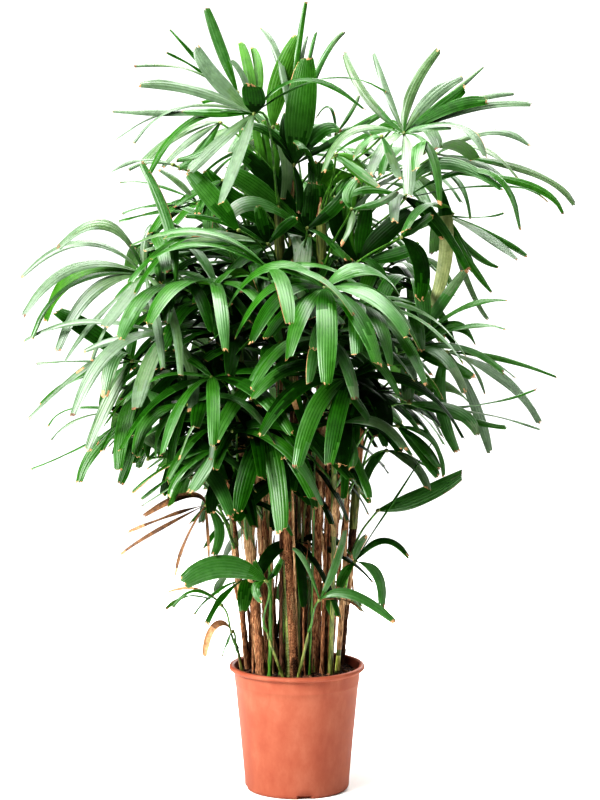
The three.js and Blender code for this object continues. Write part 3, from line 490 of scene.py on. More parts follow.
CANES: dict[str, Cane] = {
    "main": Cane((-9, -50), (-34, -44, 1170), (11.5, 8), 0.52, Bark.WRAPPED),
    "fibrous": Cane((-70, -34), (-118, -66, 1060), (10, 7.5), 0.5, Bark.SHEATH),
    "left": Cane((-98, 24), (-146, 6, 930), (6.5, 5.5), 0.48),
    "stub": Cane((-86, 50), (-90, 56, 335), (6, 5), None, Bark.SHEATH),
    "back_left": Cane((-54, 66), (-92, 116, 1110), (9, 7), 0.5),
    "back": Cane((16, 98), (22, 160, 1140), (9, 7), 0.5, Bark.DARK),
    "heart": Cane((4, 18), (-8, 22, 1230), (9.5, 7), 0.54, Bark.DARK),
    "sheathed": Cane((32, -10), (46, -58, 1180), (9, 8), 0.52, Bark.SHEATH),
    "brown": Cane((-40, 8), (-66, 4, 880), (7.5, 6), 0.5),
    "right": Cane((50, 44), (104, 46, 1130), (8.5, 7), 0.5),
    "green": Cane((66, -34), (70, -104, 860), (5, 4.5), 0.52, Bark.GREEN),
    "ringed": Cane((80, -14), (98, -40, 720), (4.6, 4), 0.6, Bark.RINGED),
    "dark": Cane((86, 60), (140, 92, 1000), (8, 6.5), 0.5, Bark.DARK),
    "old_back": Cane((52, 84), (66, 104, 640), (7, 6), None, Bark.DARK),
    "old_left": Cane((-58, -2), (-64, -8, 560), (6, 5)),
    "shoot_left": Cane((-26, -74), (-64, -100, 350), (3.6, 3), None, Bark.GREEN),
    "shoot_right": Cane((2, -80), (26, -104, 350), (3.6, 3), None, Bark.GREEN),
    "shoot_low": Cane((-110, -2), (-119, -8, 296), (3.4, 3), None, Bark.GREEN),
}

# At each height, the crown's middle along X and how far its tips reach from there.
REACH = (
    (300, -10, 200), (450, -30, 250), (560, -60, 310), (650, -95, 420), (760, -30, 500),
    (860, -15, 505), (970, -58, 485), (1060, -25, 490), (1190, 95, 455), (1330, 50, 430),
    (1400, -20, 320), (1440, -50, 260), (1490, -75, 175), (1550, -30, 80),
)
# At each height, how far left and right the dense part of the crown goes, as it is seen from
# the front, five metres away. Past it only single leaves reach out against the light.
DENSE = (
    (540, -150, 100), (560, -210, 130), (600, -250, 150), (650, -275, 225), (690, -400, 235),
    (740, -425, 345), (780, -420, 345), (840, -385, 335), (900, -350, 325), (960, -325, 305),
    (1040, -325, 290), (1090, -325, 300), (1140, -290, 300), (1200, -265, 340),
    (1260, -245, 345), (1320, -225, 300), (1340, -215, 110), (1380, -190, 60),
    (1440, -190, 20), (1480, -90, 15), (1550, -60, 10),
)
# In front and above this the crown opens on its upright inner leaves.
BAY_LOW, BAY_SIDES, BAY_DEPTH = 1060.0, (-190.0, 175.0), 110.0
TOP = 1550.0
LOWEST_LEAF = 262.0
CROWN_SLACK = 30.0


@dataclass
class Frond:
    """One frond: where its blade is and points, and how its leaflets are dealt."""

    cane: str
    hub: tuple[float, float, float]
    turn: float
    pitch: float
    count: int
    spread: float
    length: float
    width: float
    limp: float | None = None
    rise: float = 16.0
    withered: float = 0.0              # share of its leaflets that have died
    stations: tuple[float, ...] = (0.36, 0.74, 1.0)
    seed: int = 0
    attach: float = 0.0
    leaflets: list["Leaflet"] = field(default_factory=list)

    def set_out(self, seed: int) -> "Frond":
        """Fills in what follows from the frond's place: its limpness and its stalk's foot."""
        cane = CANES[self.cane]
        lowest, highest = foot_range(cane)
        start = cane.middle(min(self.hub[2], highest))
        away = math.hypot(self.hub[0] - start[0], self.hub[1] - start[1])
        below = STALK.below + STALK.below_share * away
        attach = max(lowest, min(highest, self.hub[2] - below))
        limp = self.limp
        if limp is None:
            limp = lerp(1.15, 0.1, max(0.0, self.pitch) / 80)
        return replace(self, seed=seed, attach=attach, limp=limp, leaflets=[])

    @property
    def forward(self) -> np.ndarray:
        """The way that the blade points."""
        return heading(math.radians(self.turn), math.radians(self.pitch))

    @property
    def right(self) -> np.ndarray:
        """The level direction to the blade's right."""
        return np.array((math.sin(math.radians(self.turn)), -math.cos(math.radians(self.turn)), 0.0))

    def is_fused(self) -> bool:
        """Whether it grows from a leafy shaft or from a shoot."""
        cane = CANES[self.cane]
        return cane.crown is None or self.attach > cane.split() + STALK.crown_spare


LINE_STEPS = 12                       # equal steps along a leaflet's line
FULL_WIDTH = 34.0                     # a blade is as wide as its solid up to this, mm
PAST_FULL = 0.35                      # and takes this share of what its solid has past it


@dataclass(eq=False)
class Leaflet:
    """One leaflet: its line, its width, and how it bends over and turns.

    A leaflet is equal only to itself, so that it can be taken off its frond.
    """

    start: np.ndarray
    direction: np.ndarray
    side: np.ndarray
    length: float
    width: float
    droop: float
    twist: float
    stations: tuple[float, ...]
    tone: Tone | None = None

    @property
    def blade_width(self) -> float:
        """The width of its blade, which the widest solids overstate."""
        return min(self.width, FULL_WIDTH + PAST_FULL * (self.width - FULL_WIDTH))

    def midline(self) -> tuple[np.ndarray, np.ndarray]:
        """The places along it and its direction at each, in the solids' equal steps."""
        share = (np.arange(LINE_STEPS) + 0.5) / LINE_STEPS
        steps = unit(self.direction - UP * (self.droop * share ** 1.4)[:, None])
        places = np.concatenate([[self.start],
                                 self.start + np.cumsum(steps * self.length / LINE_STEPS, axis=0)])
        return places, np.concatenate([[self.direction], steps])

    def frame_at(self, ways: np.ndarray, shares: np.ndarray) -> tuple[np.ndarray, np.ndarray]:
        """The side and the top of the leaflet at some places along it."""
        side = unit(self.side - ways * (ways @ self.side)[:, None])
        turn = (self.twist * shares)[:, None]
        side = side * np.cos(turn) + np.cross(ways, side) * np.sin(turn)
        return side, np.cross(side, ways)

    def corners(self) -> np.ndarray:
        """The corners of its solid, ridge first and then both edges of each section."""
        places, ways = self.midline()
        picks = [math.floor(share * LINE_STEPS + 0.5) for share in self.stations]
        shares = np.array(self.stations)
        side, top = self.frame_at(ways[picks], shares)
        wide = width_share(shares) * self.width
        ridge = np.maximum(3.0, 0.1 * wide)
        middle = places[picks]
        rights, lefts = middle + side * (wide / 2)[:, None], middle - side * (wide / 2)[:, None]
        return np.concatenate([(middle + top * ridge[:, None])[:-1], rights, lefts])


@dataclass(frozen=True)
class Sight:
    """The camera's view of the plant, in pixels of a picture 600 wide and 800 high."""

    place: tuple[float, float, float] = (6.0, -5000.0, 1330.0)   # of the camera, mm
    down: float = 6.3                  # degrees below level
    lens: float = 115.0                # mm
    sensor: float = 36.0               # along the picture's height, mm
    width: float = 600.0
    height: float = 800.0

    def point_at(self, pixel: Sequence[float], depth: float) -> np.ndarray:
        """Finds the place that is seen at a pixel.

        Args:
            pixel: across and down the picture.
            depth: the place's Y in millimetres.

        Returns:
            The place in millimetres.
        """
        focal = self.lens / self.sensor * self.height
        level, tilt = math.cos(math.radians(self.down)), math.sin(math.radians(self.down))
        right, up = (pixel[0] - self.width / 2) / focal, (self.height / 2 - pixel[1]) / focal
        ray = np.array((right, level + up * tilt, up * level - tilt))
        return np.array(self.place) + ray * (depth - self.place[1]) / ray[1]


SIGHT = Sight()


def seen_at(pixel: Sequence[float], depth: float) -> tuple[float, float, float]:
    """The place in millimetres that the camera sees at a pixel, at a depth along Y."""
    x, y, z = SIGHT.point_at(pixel, depth)
    return float(x), float(y), float(z)


@dataclass(frozen=True)
class Arch:
    """Where a leaflet with a place of its own is seen, in pixels of the camera's picture."""

    middle: tuple[float, float]        # halfway along its arch, across and down
    tip: tuple[float, float]
    back: float                        # how far its tip is behind its hub, mm
    width: float                       # mm
    lean: float = 0.0                  # how far its face turns from up to the front, degrees
    tone: Tone | None = None           # dealt where it has none; BROWN has dried up


@dataclass(eq=False)
class ArchedLeaflet(Leaflet):
    """A leaflet that follows an arch of its own."""

    bend: np.ndarray = field(default_factory=lambda: np.zeros(3))
    end: np.ndarray = field(default_factory=lambda: np.zeros(3))

    @property
    def blade_width(self) -> float:
        """The width of its blade."""
        return self.width

    @classmethod
    def from_arch(cls, hub: Sequence[float], arch: Arch, twist: float) -> "ArchedLeaflet":
        """Sets a leaflet out from its hub.

        Args:
            hub: where it starts.
            arch: where it goes.
            twist: how far it turns about its line by its tip, in radians.

        Returns:
            The leaflet.
        """
        start = np.array(hub)
        way = SIGHT.point_at(arch.tip, start[1] + arch.back) - start
        middle = SIGHT.point_at(arch.middle, start[1] + 0.4 * arch.back)
        lean = math.radians(arch.lean)
        face = np.array((0.0, -math.sin(lean), math.cos(lean)))
        return cls(start=start, direction=unit(way), side=unit(np.cross(way, face)),
                   length=float(np.linalg.norm(way)) * 1.1, width=arch.width, droop=0.0,
                   twist=twist, stations=(), tone=arch.tone,
                   bend=2 * middle - (2 * start + way) / 2, end=start + way)

    def midline(self) -> tuple[np.ndarray, np.ndarray]:
        """The places along the arch and its direction at each."""
        t = np.linspace(0, 1, LINE_STEPS + 1)[:, None]
        places = (1 - t) ** 2 * self.start + 2 * t * (1 - t) * self.bend + t ** 2 * self.end
        return places, unit(np.gradient(places, axis=0))


def width_share(share: np.ndarray, blunt: float = 0.42, neck: float = 0.1) -> np.ndarray:
    """A leaflet's width along its length, as a share of its widest place."""
    widest = 0.45
    rising = neck + (1 - neck) * np.sin(math.pi / 2 * np.minimum(1, share / widest))
    falling = 1 - (1 - blunt) * (np.maximum(0, share - widest) / (1 - widest)) ** 3
    return np.where(share < widest, rising, falling)


@dataclass(frozen=True)
class StalkRule:
    """How a stalk leaves its cane and comes round to its hub."""

    radius: float = 2.6
    foot: float = 4.2
    steps: int = 4
    lift: float = 62.0
    reach: float = 0.45
    arrive: float = 0.3
    rising: float = 0.5
    past: float = 2.5
    below: float = 50.0
    below_share: float = 0.5
    top_spare: float = 14.0
    crown_spare: float = 8.0
    soil_spare: float = 20.0

    def foot_of(self, frond: Frond) -> tuple[np.ndarray, np.ndarray, np.ndarray]:
        """Where a stalk leaves its cane, the way out there and the cane's axis."""
        cane = CANES[frond.cane]
        middle = cane.middle(frond.attach)
        axis = unit(cane.middle(frond.attach + 1) - middle)
        face = 2 * math.pi / CANE_SIDES
        towards = math.atan2(frond.hub[1] - middle[1], frond.hub[0] - middle[0])
        out = heading((math.floor(towards / face) + 0.5) * face, 0)
        out = unit(out - axis * (out @ axis))
        surface = float(cane.radius(np.float64(frond.attach))) * math.cos(face / 2)
        return middle + out * (0 if frond.is_fused() else surface + SEAT), out, axis

    def curve(self, frond: Frond, shares: np.ndarray) -> tuple[np.ndarray, np.ndarray]:
        """Points and directions along the stalk's curve."""
        point, out, axis = self.foot_of(frond)
        hub = np.array(frond.hub)
        span = np.linalg.norm(point - hub)
        lift = math.radians(self.lift)
        arrive = unit(frond.forward + UP * self.rising)
        knots = (point, point + (out * math.cos(lift) + axis * math.sin(lift)) * span * self.reach,
                 hub - arrive * span * self.arrive, hub + arrive * self.past)
        t = shares[:, None]
        a, b, c, d = knots
        points = (1 - t) ** 3 * a + 3 * (1 - t) ** 2 * t * b + 3 * (1 - t) * t ** 2 * c + t ** 3 * d
        ways = (1 - t) ** 2 * (b - a) + 2 * (1 - t) * t * (c - b) + t ** 2 * (d - c)
        return points, unit(ways)

    def corners(self, frond: Frond) -> np.ndarray:
        """The corners of the stalk's solid between its foot and its hub."""
        shares = np.arange(1, self.steps) / self.steps
        found = []
        for share, point, way in zip(shares, *self.curve(frond, shares)):
            radius = lerp(self.foot, self.radius, min(1, 3 * share))
            right = right_of(way)
            top = np.cross(right, way)
            found += [point + radius * (top * math.cos(a) + right * math.sin(a))
                      for a in np.radians((0, 120, 240))]
        return np.array(found)


STALK = StalkRule()


def foot_range(cane: Cane) -> tuple[float, float]:
    """The lowest and the highest place on a cane for a stalk's foot."""
    lowest = FOOT_Z + STALK.soil_spare
    if cane.crown is None:
        lowest = max(lowest, cane.tip[2] - TIP_SHAFT + STALK.crown_spare)
    return lowest, cane.tip[2] - STALK.top_spare


# Fronds with places of their own, in the solids and here.
OWN_FRONDS = (
    Frond("left", (-292, -90, 1030), 212, -16, 11, 142, 290, 28, 1.35, 28),
    Frond("fibrous", (-250, -175, 922), 216, -24, 9, 112, 275, 33, 1.3),
    Frond("sheathed", (50, -330, 1020), -84, -30, 9, 124, 235, 42, 1.5, 24),
    Frond("right", (203, -130, 1300), -70, -62, 12, 165, 215, 32, 0.4, 22),
    Frond("main", (-81, -150, 1338), 226, -52, 10, 150, 250, 30, 0.5),
    Frond("heart", (-8, -20, 1275), -80, 86, 6, 26, 262, 38),
    Frond("back_left", (-116, 20, 1380), 165, 58, 6, 56, 195, 27),
    Frond("sheathed", (214, -150, 890), -28, -14, 9, 112, 255, 33),
    Frond("main", (-58, -235, 750), 262, -56, 6, 86, 205, 36),
    Frond("green", (77, -235, 757), -72, -46, 6, 96, 175, 31),
    Frond("left", (-178, -70, 580), 196, -8, 6, 76, 215, 27, 0.7, withered=0.5),
    Frond("shoot_left", (-60, -128, 440), 188, 20, 4, 84, 190, 50, 1.1),
    Frond("shoot_low", (-150, -20, 372), 190, 12, 3, 30, 125, 15, withered=0.3),
    Frond("ringed", (114, -80, 470), -12, 26, 5, 104, 175, 31, 1.5),
    Frond("shoot_right", (44, -124, 402), -14, 12, 3, 40, 185, 30),
    Frond("dark", (160, -10, 560), -8, 34, 3, 16, 205, 33, 0.15, 4),
    Frond("right", (262, -60, 1225), -14, -6, 9, 92, 290, 25, 1.1),
    Frond("fibrous", (-190, -60, 1165), 196, 4, 9, 118, 240, 31),
    Frond("heart", (-140, 10, 1330), 178, 8, 8, 84, 270, 26, 0.6),
    Frond("brown", (-130, -150, 640), 228, -44, 6, 90, 210, 33),
    Frond("shoot_low", (-128, -16, 318), 214, -24, 2, 60, 80, 19, withered=0.6),
    Frond("back_left", (-240, -40, 1240), 192, -6, 8, 112, 235, 33),
    Frond("heart", (-150, -70, 1392), 190, 14, 7, 74, 235, 25, 0.35),
    Frond("dark", (296, 10, 872), -6, -8, 8, 92, 245, 27),
    Frond("heart", (20, -100, 1120), -80, 62, 7, 70, 240, 40, 0.3),
    Frond("dark", (196, -70, 735), -26, -30, 7, 96, 215, 30),
    Frond("left", (-238, 40, 800), 168, -26, 8, 104, 240, 30),
)
OWN_SEED, FURTHER_SEED = 1000, 1500


@dataclass(frozen=True)
class Ring:
    """Fronds at the golden angle, from the lowest to the highest."""

    count: int
    heights: tuple[float, float]
    inset: tuple[float, float]
    pitch: tuple[float, float]
    length: tuple[float, float]
    width: tuple[float, float]
    counts: tuple[float, float]
    spread: float
    seed: int
    start: float
    stations: tuple[float, ...] = (0.36, 0.74, 1.0)


RINGS = (
    Ring(42, (650, 1310), (175, 195), (-44, 14), (240, 272), (27, 36), (7, 10), 122, 4100, 70),
    Ring(20, (640, 1180), (360, 400), (-10, 58), (215, 250), (29, 40), (6, 8), 105, 5200, 10,
         (0.42, 1.0)),
    Ring(8, (1170, 1310), (400, 360), (50, 78), (200, 240), (28, 36), (6, 8), 70, 6300, 200),
    Ring(5, (380, 600), (150, 205), (-14, -24), (150, 215), (22, 30), (4, 6), 96, 7400, 45),
)


# Further fronds of the fine plant, whose leaflets all have places of their own.
FURTHER_FRONDS = (
    Frond("right", (206, -120, 1178), -60, 20, 0, 0, 200, 26),
    Frond("shoot_low", (-128, -16, 318), 214, -24, 0, 0, 80, 19),
    Frond("heart", seen_at((310, 236), -40), -90, 84, 0, 0, 240, 40),
    Frond("sheathed", seen_at((358, 262), -60), -40, 74, 0, 0, 240, 36),
    Frond("heart", seen_at((274, 198), 20), 150, 84, 0, 0, 220, 18),
    Frond("heart", seen_at((294, 165), -60), -90, 84, 0, 0, 240, 40),
    Frond("heart", seen_at((273, 127), 0), 100, 84, 0, 0, 240, 40),
    Frond("main", seen_at((268, 244), -120), 190, 30, 0, 0, 240, 30),
)

# Leaflets with places of their own, by the number of their frond: the pixels of the middle
# and the tip of each, how far its tip is behind its hub, its width, its lean and its tone.
# A tone gives a leaflet the lightness it is seen with, painted shade and sheen included.
ARCHES: dict[int, tuple[Arch, ...]] = {
    0: (
        Arch((107, 225), (57, 248), -40, 24, 50, PALE),
        Arch((84, 243), (21, 278), 30, 16, 50, MINT),
        Arch((76, 267), (22, 316), -70, 22, 45, MINT),
        Arch((72, 284), (31, 338), -40, 14, 35, FRESH),
        Arch((78, 274), (45, 322), 60, 32, 60, UNDER),
        Arch((93, 292), (57, 352), -30, 26, 55, MINT),
        Arch((97, 318), (64, 362), -60, 12, 30, MINT),
        Arch((125, 300), (104, 328), -200, 28, 30, MINT),
        Arch((112, 318), (93, 362), -80, 10, 20, MINT),
        Arch((156, 318), (164, 370), -290, 18, 0, MINT),
        Arch((170, 310), (178, 376), -290, 18, 0, PALE),
        Arch((144, 245), (150, 222), 20, 16, 80, MINT),
        Arch((157, 228), (187, 232), 60, 22, 40, DEEP),
    ),
    1: (
        Arch((112, 350), (74, 418), -70, 28, 40, MINT),
        Arch((122, 338), (83, 350), 30, 14, 60, MINT),
        Arch((148, 368), (138, 410), -110, 36, 0, PALE),
        Arch((190, 365), (191, 412), -90, 24, 10, PALE),
        Arch((88, 322), (25, 342), 60, 12, 60, MINT),
    ),
    3: (
        Arch((366, 95), (347, 52), 80, 17, 90, PALE),
        Arch((387, 92), (374, 53), 60, 13, 90, MINT),
        Arch((412, 92), (440, 50), 40, 20, 80, PALE),
        Arch((432, 98), (465, 80), 60, 24, 75, MINT),
        Arch((440, 103), (482, 64), 40, 10, 60, PALE),
        Arch((440, 108), (466, 88), 0, 24, 70, DEEP),
        Arch((448, 108), (488, 100), -20, 26, 60, DEEP),
        Arch((466, 108), (531, 103), 0, 22, 65, MINT),
        Arch((462, 104), (515, 95), 60, 14, 60, PALE),
        Arch((458, 126), (486, 158), -60, 22, 30, MINT),
        Arch((430, 150), (439, 205), -100, 18, 20, MID),
        Arch((408, 162), (404, 196), -150, 26, 0, MINT),
        Arch((385, 145), (372, 176), -110, 26, 10, MINT),
        Arch((352, 132), (325, 173), -60, 20, 35, PALE),
        Arch((425, 127), (452, 127), -20, 18, 60, FRESH),
    ),
    4: (
        Arch((216, 80), (193, 49), 10, 30, 75, MINT),
        Arch((190, 90), (139, 87), -20, 22, 65, MINT),
        Arch((178, 113), (113, 111), -20, 14, 55, MINT),
        Arch((185, 107), (117, 139), 10, 8, 20, PALE),
        Arch((182, 108), (135, 144), -30, 9, 30, MINT),
        Arch((192, 121), (150, 174), -60, 18, 40, MID),
        Arch((215, 114), (183, 117), -40, 18, 60, MID),
        Arch((244, 80), (230, 62), 0, 12, 70, MINT),
        Arch((255, 98), (255, 83), -30, 44, 75, DEEP),
        Arch((303, 80), (363, 112), -30, 16, 30, DEEP),
        Arch((325, 79), (386, 92), 40, 7, 10, DEEP),
        Arch((250, 75), (243, 42), 60, 20, 90, UNDER),
        Arch((259, 75), (253, 47), 80, 18, 90, UNDER),
        Arch((240, 152), (222, 205), -110, 26, 10, MINT),
        Arch((212, 146), (175, 158), -50, 16, 50, FRESH),
        Arch((214, 146), (186, 171), -60, 26, 50, MINT),
        Arch((205, 152), (180, 170), -40, 18, 50, MID),
    ),
    5: (
        Arch((296, 70), (305, 2), 40, 12, 90, MID),
        Arch((281, 66), (262, 27), 60, 14, 90, MINT),
        Arch((306, 75), (317, 33), 40, 9, 90, FRESH),
        Arch((299, 78), (308, 37), 60, 8, 90, PALE),
        Arch((318, 70), (345, 32), 20, 12, 80, FRESH),
    ),
    6: (
        Arch((221, 48), (208, 8), 0, 22, 90, FRESH),
    ),
    7: (
        Arch((440, 355), (463, 393), -70, 26, 35),
        Arch((441, 362), (471, 382), -20, 28, 55),
        Arch((409, 372), (409, 403), -140, 30, 0),
        Arch((460, 310), (508, 303), 20, 16, 25),
        Arch((463, 327), (506, 329), 0, 15, 25),
        Arch((437, 308), (462, 268), 60, 22, 75),
        Arch((460, 348), (503, 374), -10, 16, 50, FRESH),
        Arch((452, 326), (475, 346), 10, 22, 60, MID),
    ),
    8: (
        Arch((228, 408), (208, 461), -80, 20, 10, MINT),
        Arch((214, 407), (180, 461), -60, 14, 20, PALE),
    ),
    9: (
        Arch((376, 423), (403, 452), -60, 24, 45, PALE),
        Arch((352, 447), (352, 470), -90, 20, 10, FRESH),
        Arch((360, 470), (370, 500), -40, 18, 40, MID),
        Arch((345, 470), (345, 500), -20, 16, 30, DEEP),
    ),
    10: (
        Arch((186, 497), (145, 518), -40, 24, 60, MID),
        Arch((168, 517), (128, 531), -20, 12, 40, BROWN),
        Arch((150, 534), (119, 551), 20, 14, 60, BROWN),
        Arch((185, 543), (175, 577), -30, 12, 30, MID),
        Arch((207, 530), (207, 558), -60, 10, 0, BROWN),
        Arch((219, 528), (212, 556), -80, 20, 0, FRESH),
    ),
    11: (
        Arch((222, 565), (179, 578), -40, 46, 72, FRESH),
        Arch((255, 588), (261, 604), -20, 18, 20, MID),
        Arch((258, 572), (252, 560), 10, 14, 60, MID),
        Arch((276, 570), (280, 556), 10, 12, 70, DEEP),
    ),
    12: (
        Arch((196, 590), (163, 597), 0, 10, 40, FRESH),
        Arch((196, 592), (176, 611), -30, 9, 40, MID),
    ),
    13: (
        Arch((383, 541), (408, 558), 0, 16, 50, DEEP),
        Arch((378, 575), (384, 608), -60, 22, 30, FRESH),
        Arch((358, 549), (369, 536), 0, 15, 80, FRESH),
        Arch((344, 575), (340, 590), -30, 20, 30, MID),
        Arch((385, 515), (436, 440), 30, 4, 20, DEEP),
    ),
    14: (
        Arch((352, 594), (397, 621), -30, 22, 55, FRESH),
        Arch((334, 566), (341, 529), 10, 16, 85, FRESH),
        Arch((306, 562), (294, 545), -20, 10, 60, FRESH),
        Arch((350, 603), (365, 622), 20, 9, 40, BROWN),
    ),
    15: (
        Arch((420, 497), (463, 474), 0, 34, 72, FRESH),
    ),
    16: (
        Arch((447, 238), (433, 309), -60, 28, 10, FADED),
        Arch((458, 182), (469, 219), -70, 12, 20, FRESH),
        Arch((525, 184), (563, 214), 0, 16, 60, MID),
    ),
    17: (
        Arch((160, 186), (120, 182), 0, 9, 20),
        Arch((158, 205), (122, 214), 0, 9, 20),
        Arch((150, 214), (118, 222), 20, 14, 20),
        Arch((178, 183), (157, 171), 0, 12, 60, PALE),
    ),
    18: (
        Arch((182, 132), (142, 165), -40, 20, 50, PALE),
        Arch((190, 142), (164, 170), -60, 16, 45, MINT),
        Arch((200, 150), (176, 159), -30, 16, 40, MID),
        Arch((200, 152), (181, 172), -50, 18, 45, FRESH),
        Arch((185, 130), (141, 161), -30, 18, 40, MINT),
    ),
    19: (
        Arch((140, 160), (110, 171), 0, 8, 40, MINT),
        Arch((147, 163), (129, 172), -20, 9, 50, MINT),
    ),
    20: (
        Arch((195, 57), (170, 28), 20, 8, 60),
        Arch((195, 67), (168, 50), 0, 7, 40),
        Arch((182, 68), (132, 66), -20, 8, 40, PALE),
    ),
    21: (
        Arch((505, 380), (541, 423), 0, 28, 35, MINT),
        Arch((500, 360), (555, 381), 40, 12, 55, MID),
        Arch((478, 354), (515, 378), 20, 10, 20, PALE),
        Arch((470, 365), (483, 394), -20, 9, 20, PALE),
        Arch((440, 400), (457, 453), -60, 26, 10, FRESH),
        Arch((472, 398), (490, 453), -50, 24, 20, MINT),
    ),
    22: (
        Arch((335, 206), (352, 178), 0, 26, 80, DEEP),
        Arch((328, 240), (346, 262), -30, 20, 20, DEEP),
    ),
    23: (
        Arch((421, 445), (439, 470), -20, 22, 40),
        Arch((432, 441), (445, 476), -40, 12, 30),
        Arch((420, 450), (440, 476), -20, 24, 40, MID),
        Arch((432, 438), (445, 474), -10, 10, 30, FRESH),
    ),
    27: (
        Arch((413, 464), (427, 490), -50, 24, 30, PALE),
        Arch((371, 464), (359, 488), -40, 20, 30, FRESH),
        Arch((405, 455), (432, 470), 20, 12, 30, MID),
    ),
    29: (
        Arch((184, 470), (170, 498), -30, 18, 20, MID),
        Arch((206, 468), (190, 494), -30, 28, 20, FRESH),
        Arch((172, 463), (132, 492), 20, 12, 30, MID),
        Arch((175, 474), (141, 499), 40, 10, 30, MID),
        Arch((186, 476), (142, 507), 0, 8, 20, PALE),
    ),
    31: (
        Arch((97, 447), (78, 484), -40, 24, 50, MID),
        Arch((78, 449), (32, 469), 0, 10, 10, MID),
        Arch((131, 452), (121, 485), -30, 22, 25, DEEP),
        Arch((122, 430), (113, 454), 30, 14, 20, SHADE),
        Arch((85, 417), (51, 441), 20, 9, 20, PALE),
        Arch((78, 408), (48, 427), 20, 7, 20, MID),
        Arch((125, 411), (112, 413), -30, 20, 50, DEEP),
        Arch((128, 422), (116, 427), -40, 14, 50, PALE),
    ),
    32: (
        Arch((470, 406), (536, 388), 30, 8, 20, MID),
        Arch((458, 412), (478, 436), -20, 26, 50, FRESH),
        Arch((490, 416), (541, 431), 20, 8, 20, PALE),
        Arch((470, 420), (506, 425), 40, 14, 50, MID),
    ),
    34: (
        Arch((150, 418), (135, 458), -60, 30, 30, MID),
        Arch((173, 440), (167, 484), -20, 20, 20, DEEP),
        Arch((162, 426), (158, 459), 0, 14, 20, MID),
    ),
    35: (
        Arch((137, 390), (126, 410), -40, 22, 40, FRESH),
    ),
    38: (
        Arch((96, 362), (31, 420), -20, 18, 35, MINT),
        Arch((78, 378), (41, 408), 40, 16, 40, MID),
        Arch((80, 362), (36, 365), 20, 8, 10, FRESH),
        Arch((108, 402), (87, 451), -50, 28, 30, PALE),
        Arch((95, 335), (55, 313), 20, 36, 70, DEEP),
        Arch((116, 356), (107, 398), -60, 32, 40, FRESH),
    ),
    41: (
        Arch((131, 348), (122, 388), -20, 20, 30, DEEP),
    ),
    44: (
        Arch((168, 225), (140, 163), 60, 21, 85, FRESH),
    ),
    47: (
        Arch((205, 231), (130, 246), 20, 22, 20),
        Arch((205, 244), (150, 259), -20, 18, 20),
        Arch((215, 237), (165, 238), 60, 20, 20),
    ),
    50: (
        Arch((420, 262), (418, 300), -20, 34, 30, SHADE),
        Arch((412, 228), (432, 214), 40, 20, 70, MID),
    ),
    52: (
        Arch((215, 200), (190, 170), 20, 38, 80, MID),
    ),
    53: (
        Arch((485, 236), (517, 262), -60, 22, 35, MINT),
        Arch((492, 236), (526, 258), 0, 14, 60, MID),
        Arch((465, 255), (492, 294), -30, 16, 40, MID),
        Arch((470, 250), (499, 268), 30, 14, 50, MID),
        Arch((463, 248), (475, 272), 0, 20, 50, MID),
        Arch((467, 282), (486, 321), 20, 12, 50, PALE),
        Arch((478, 218), (505, 213), 30, 6, 20, MID),
    ),
    54: (
        Arch((206, 215), (203, 190), 20, 24, 88, FRESH),
    ),
    55: (
        Arch((352, 222), (342, 246), 0, 14, 20, PALE),
        Arch((378, 204), (400, 194), 60, 16, 60, FRESH),
        Arch((348, 195), (360, 180), 60, 20, 80, MID),
    ),
    57: (
        Arch((198, 190), (172, 206), -20, 18, 40, MID),
        Arch((206, 196), (196, 216), -40, 18, 20, DEEP),
        Arch((210, 205), (207, 236), -60, 24, 10, DEEP),
    ),
    59: (
        Arch((358, 171), (380, 186), 0, 22, 60, UNDER),
        Arch((352, 160), (369, 178), 20, 18, 60, UNDER),
        Arch((358, 170), (380, 186), -20, 18, 50, FRESH),
    ),
    60: (
        Arch((480, 148), (519, 180), -60, 16, 30, PALE),
        Arch((490, 132), (530, 146), 0, 16, 60, MINT),
        Arch((530, 172), (575, 205), -20, 16, 60, PALE),
        Arch((484, 166), (504, 181), -40, 16, 40, MINT),
    ),
    61: (
        Arch((366, 142), (352, 160), -20, 18, 30, FRESH),
        Arch((392, 160), (398, 180), -30, 20, 20, PALE),
    ),
    70: (
        Arch((245, 275), (221, 251), 0, 24, 70, MID),
    ),
    75: (
        Arch((250, 235), (226, 226), 0, 38, 80, SHADE),
        Arch((283, 248), (284, 262), -60, 12, 20, PALE),
        Arch((300, 245), (300, 302), -140, 26, 10, PALE),
    ),
    77: (
        Arch((330, 176), (326, 158), 20, 20, 80, DEEP),
        Arch((352, 186), (374, 176), 0, 18, 60, MID),
        Arch((346, 216), (368, 232), 0, 22, 40, SHADE),
        Arch((322, 182), (312, 170), 10, 20, 80, MID),
    ),
    79: (
        Arch((351, 112), (358, 96), 20, 8, 80, FRESH),
        Arch((330, 108), (316, 118), 30, 8, 50, FRESH),
        Arch((355, 128), (372, 136), 0, 9, 60, MINT),
    ),
    85: (
        Arch((440, 163), (503, 188), -20, 30, 50, FRESH),
        Arch((485, 172), (519, 231), -40, 18, 40, MID),
        Arch((500, 186), (547, 202), 20, 8, 10, DEEP),
        Arch((426, 214), (440, 240), 0, 26, 60, DEEP),
        Arch((396, 198), (395, 223), -90, 24, 10, MINT),
        Arch((436, 218), (473, 270), -40, 22, 40, DEEP),
        Arch((368, 190), (340, 202), 0, 16, 60, MID),
    ),
    86: (
        Arch((216, 628), (208, 658), -20, 24, 40, BROWN),
        Arch((228, 640), (222, 655), 10, 9, 20),
    ),
    87: (
        Arch((313, 208), (313, 182), 0, 48, 90, DEEP),
        Arch((258, 203), (221, 222), -100, 34, 50, FRESH),
        Arch((262, 193), (225, 172), 0, 38, 80, MID),
        Arch((268, 178), (235, 150), 20, 34, 80, SHADE),
        Arch((316, 192), (316, 160), 20, 28, 90, DEEP),
        Arch((327, 200), (326, 164), 30, 14, 90, UNDER),
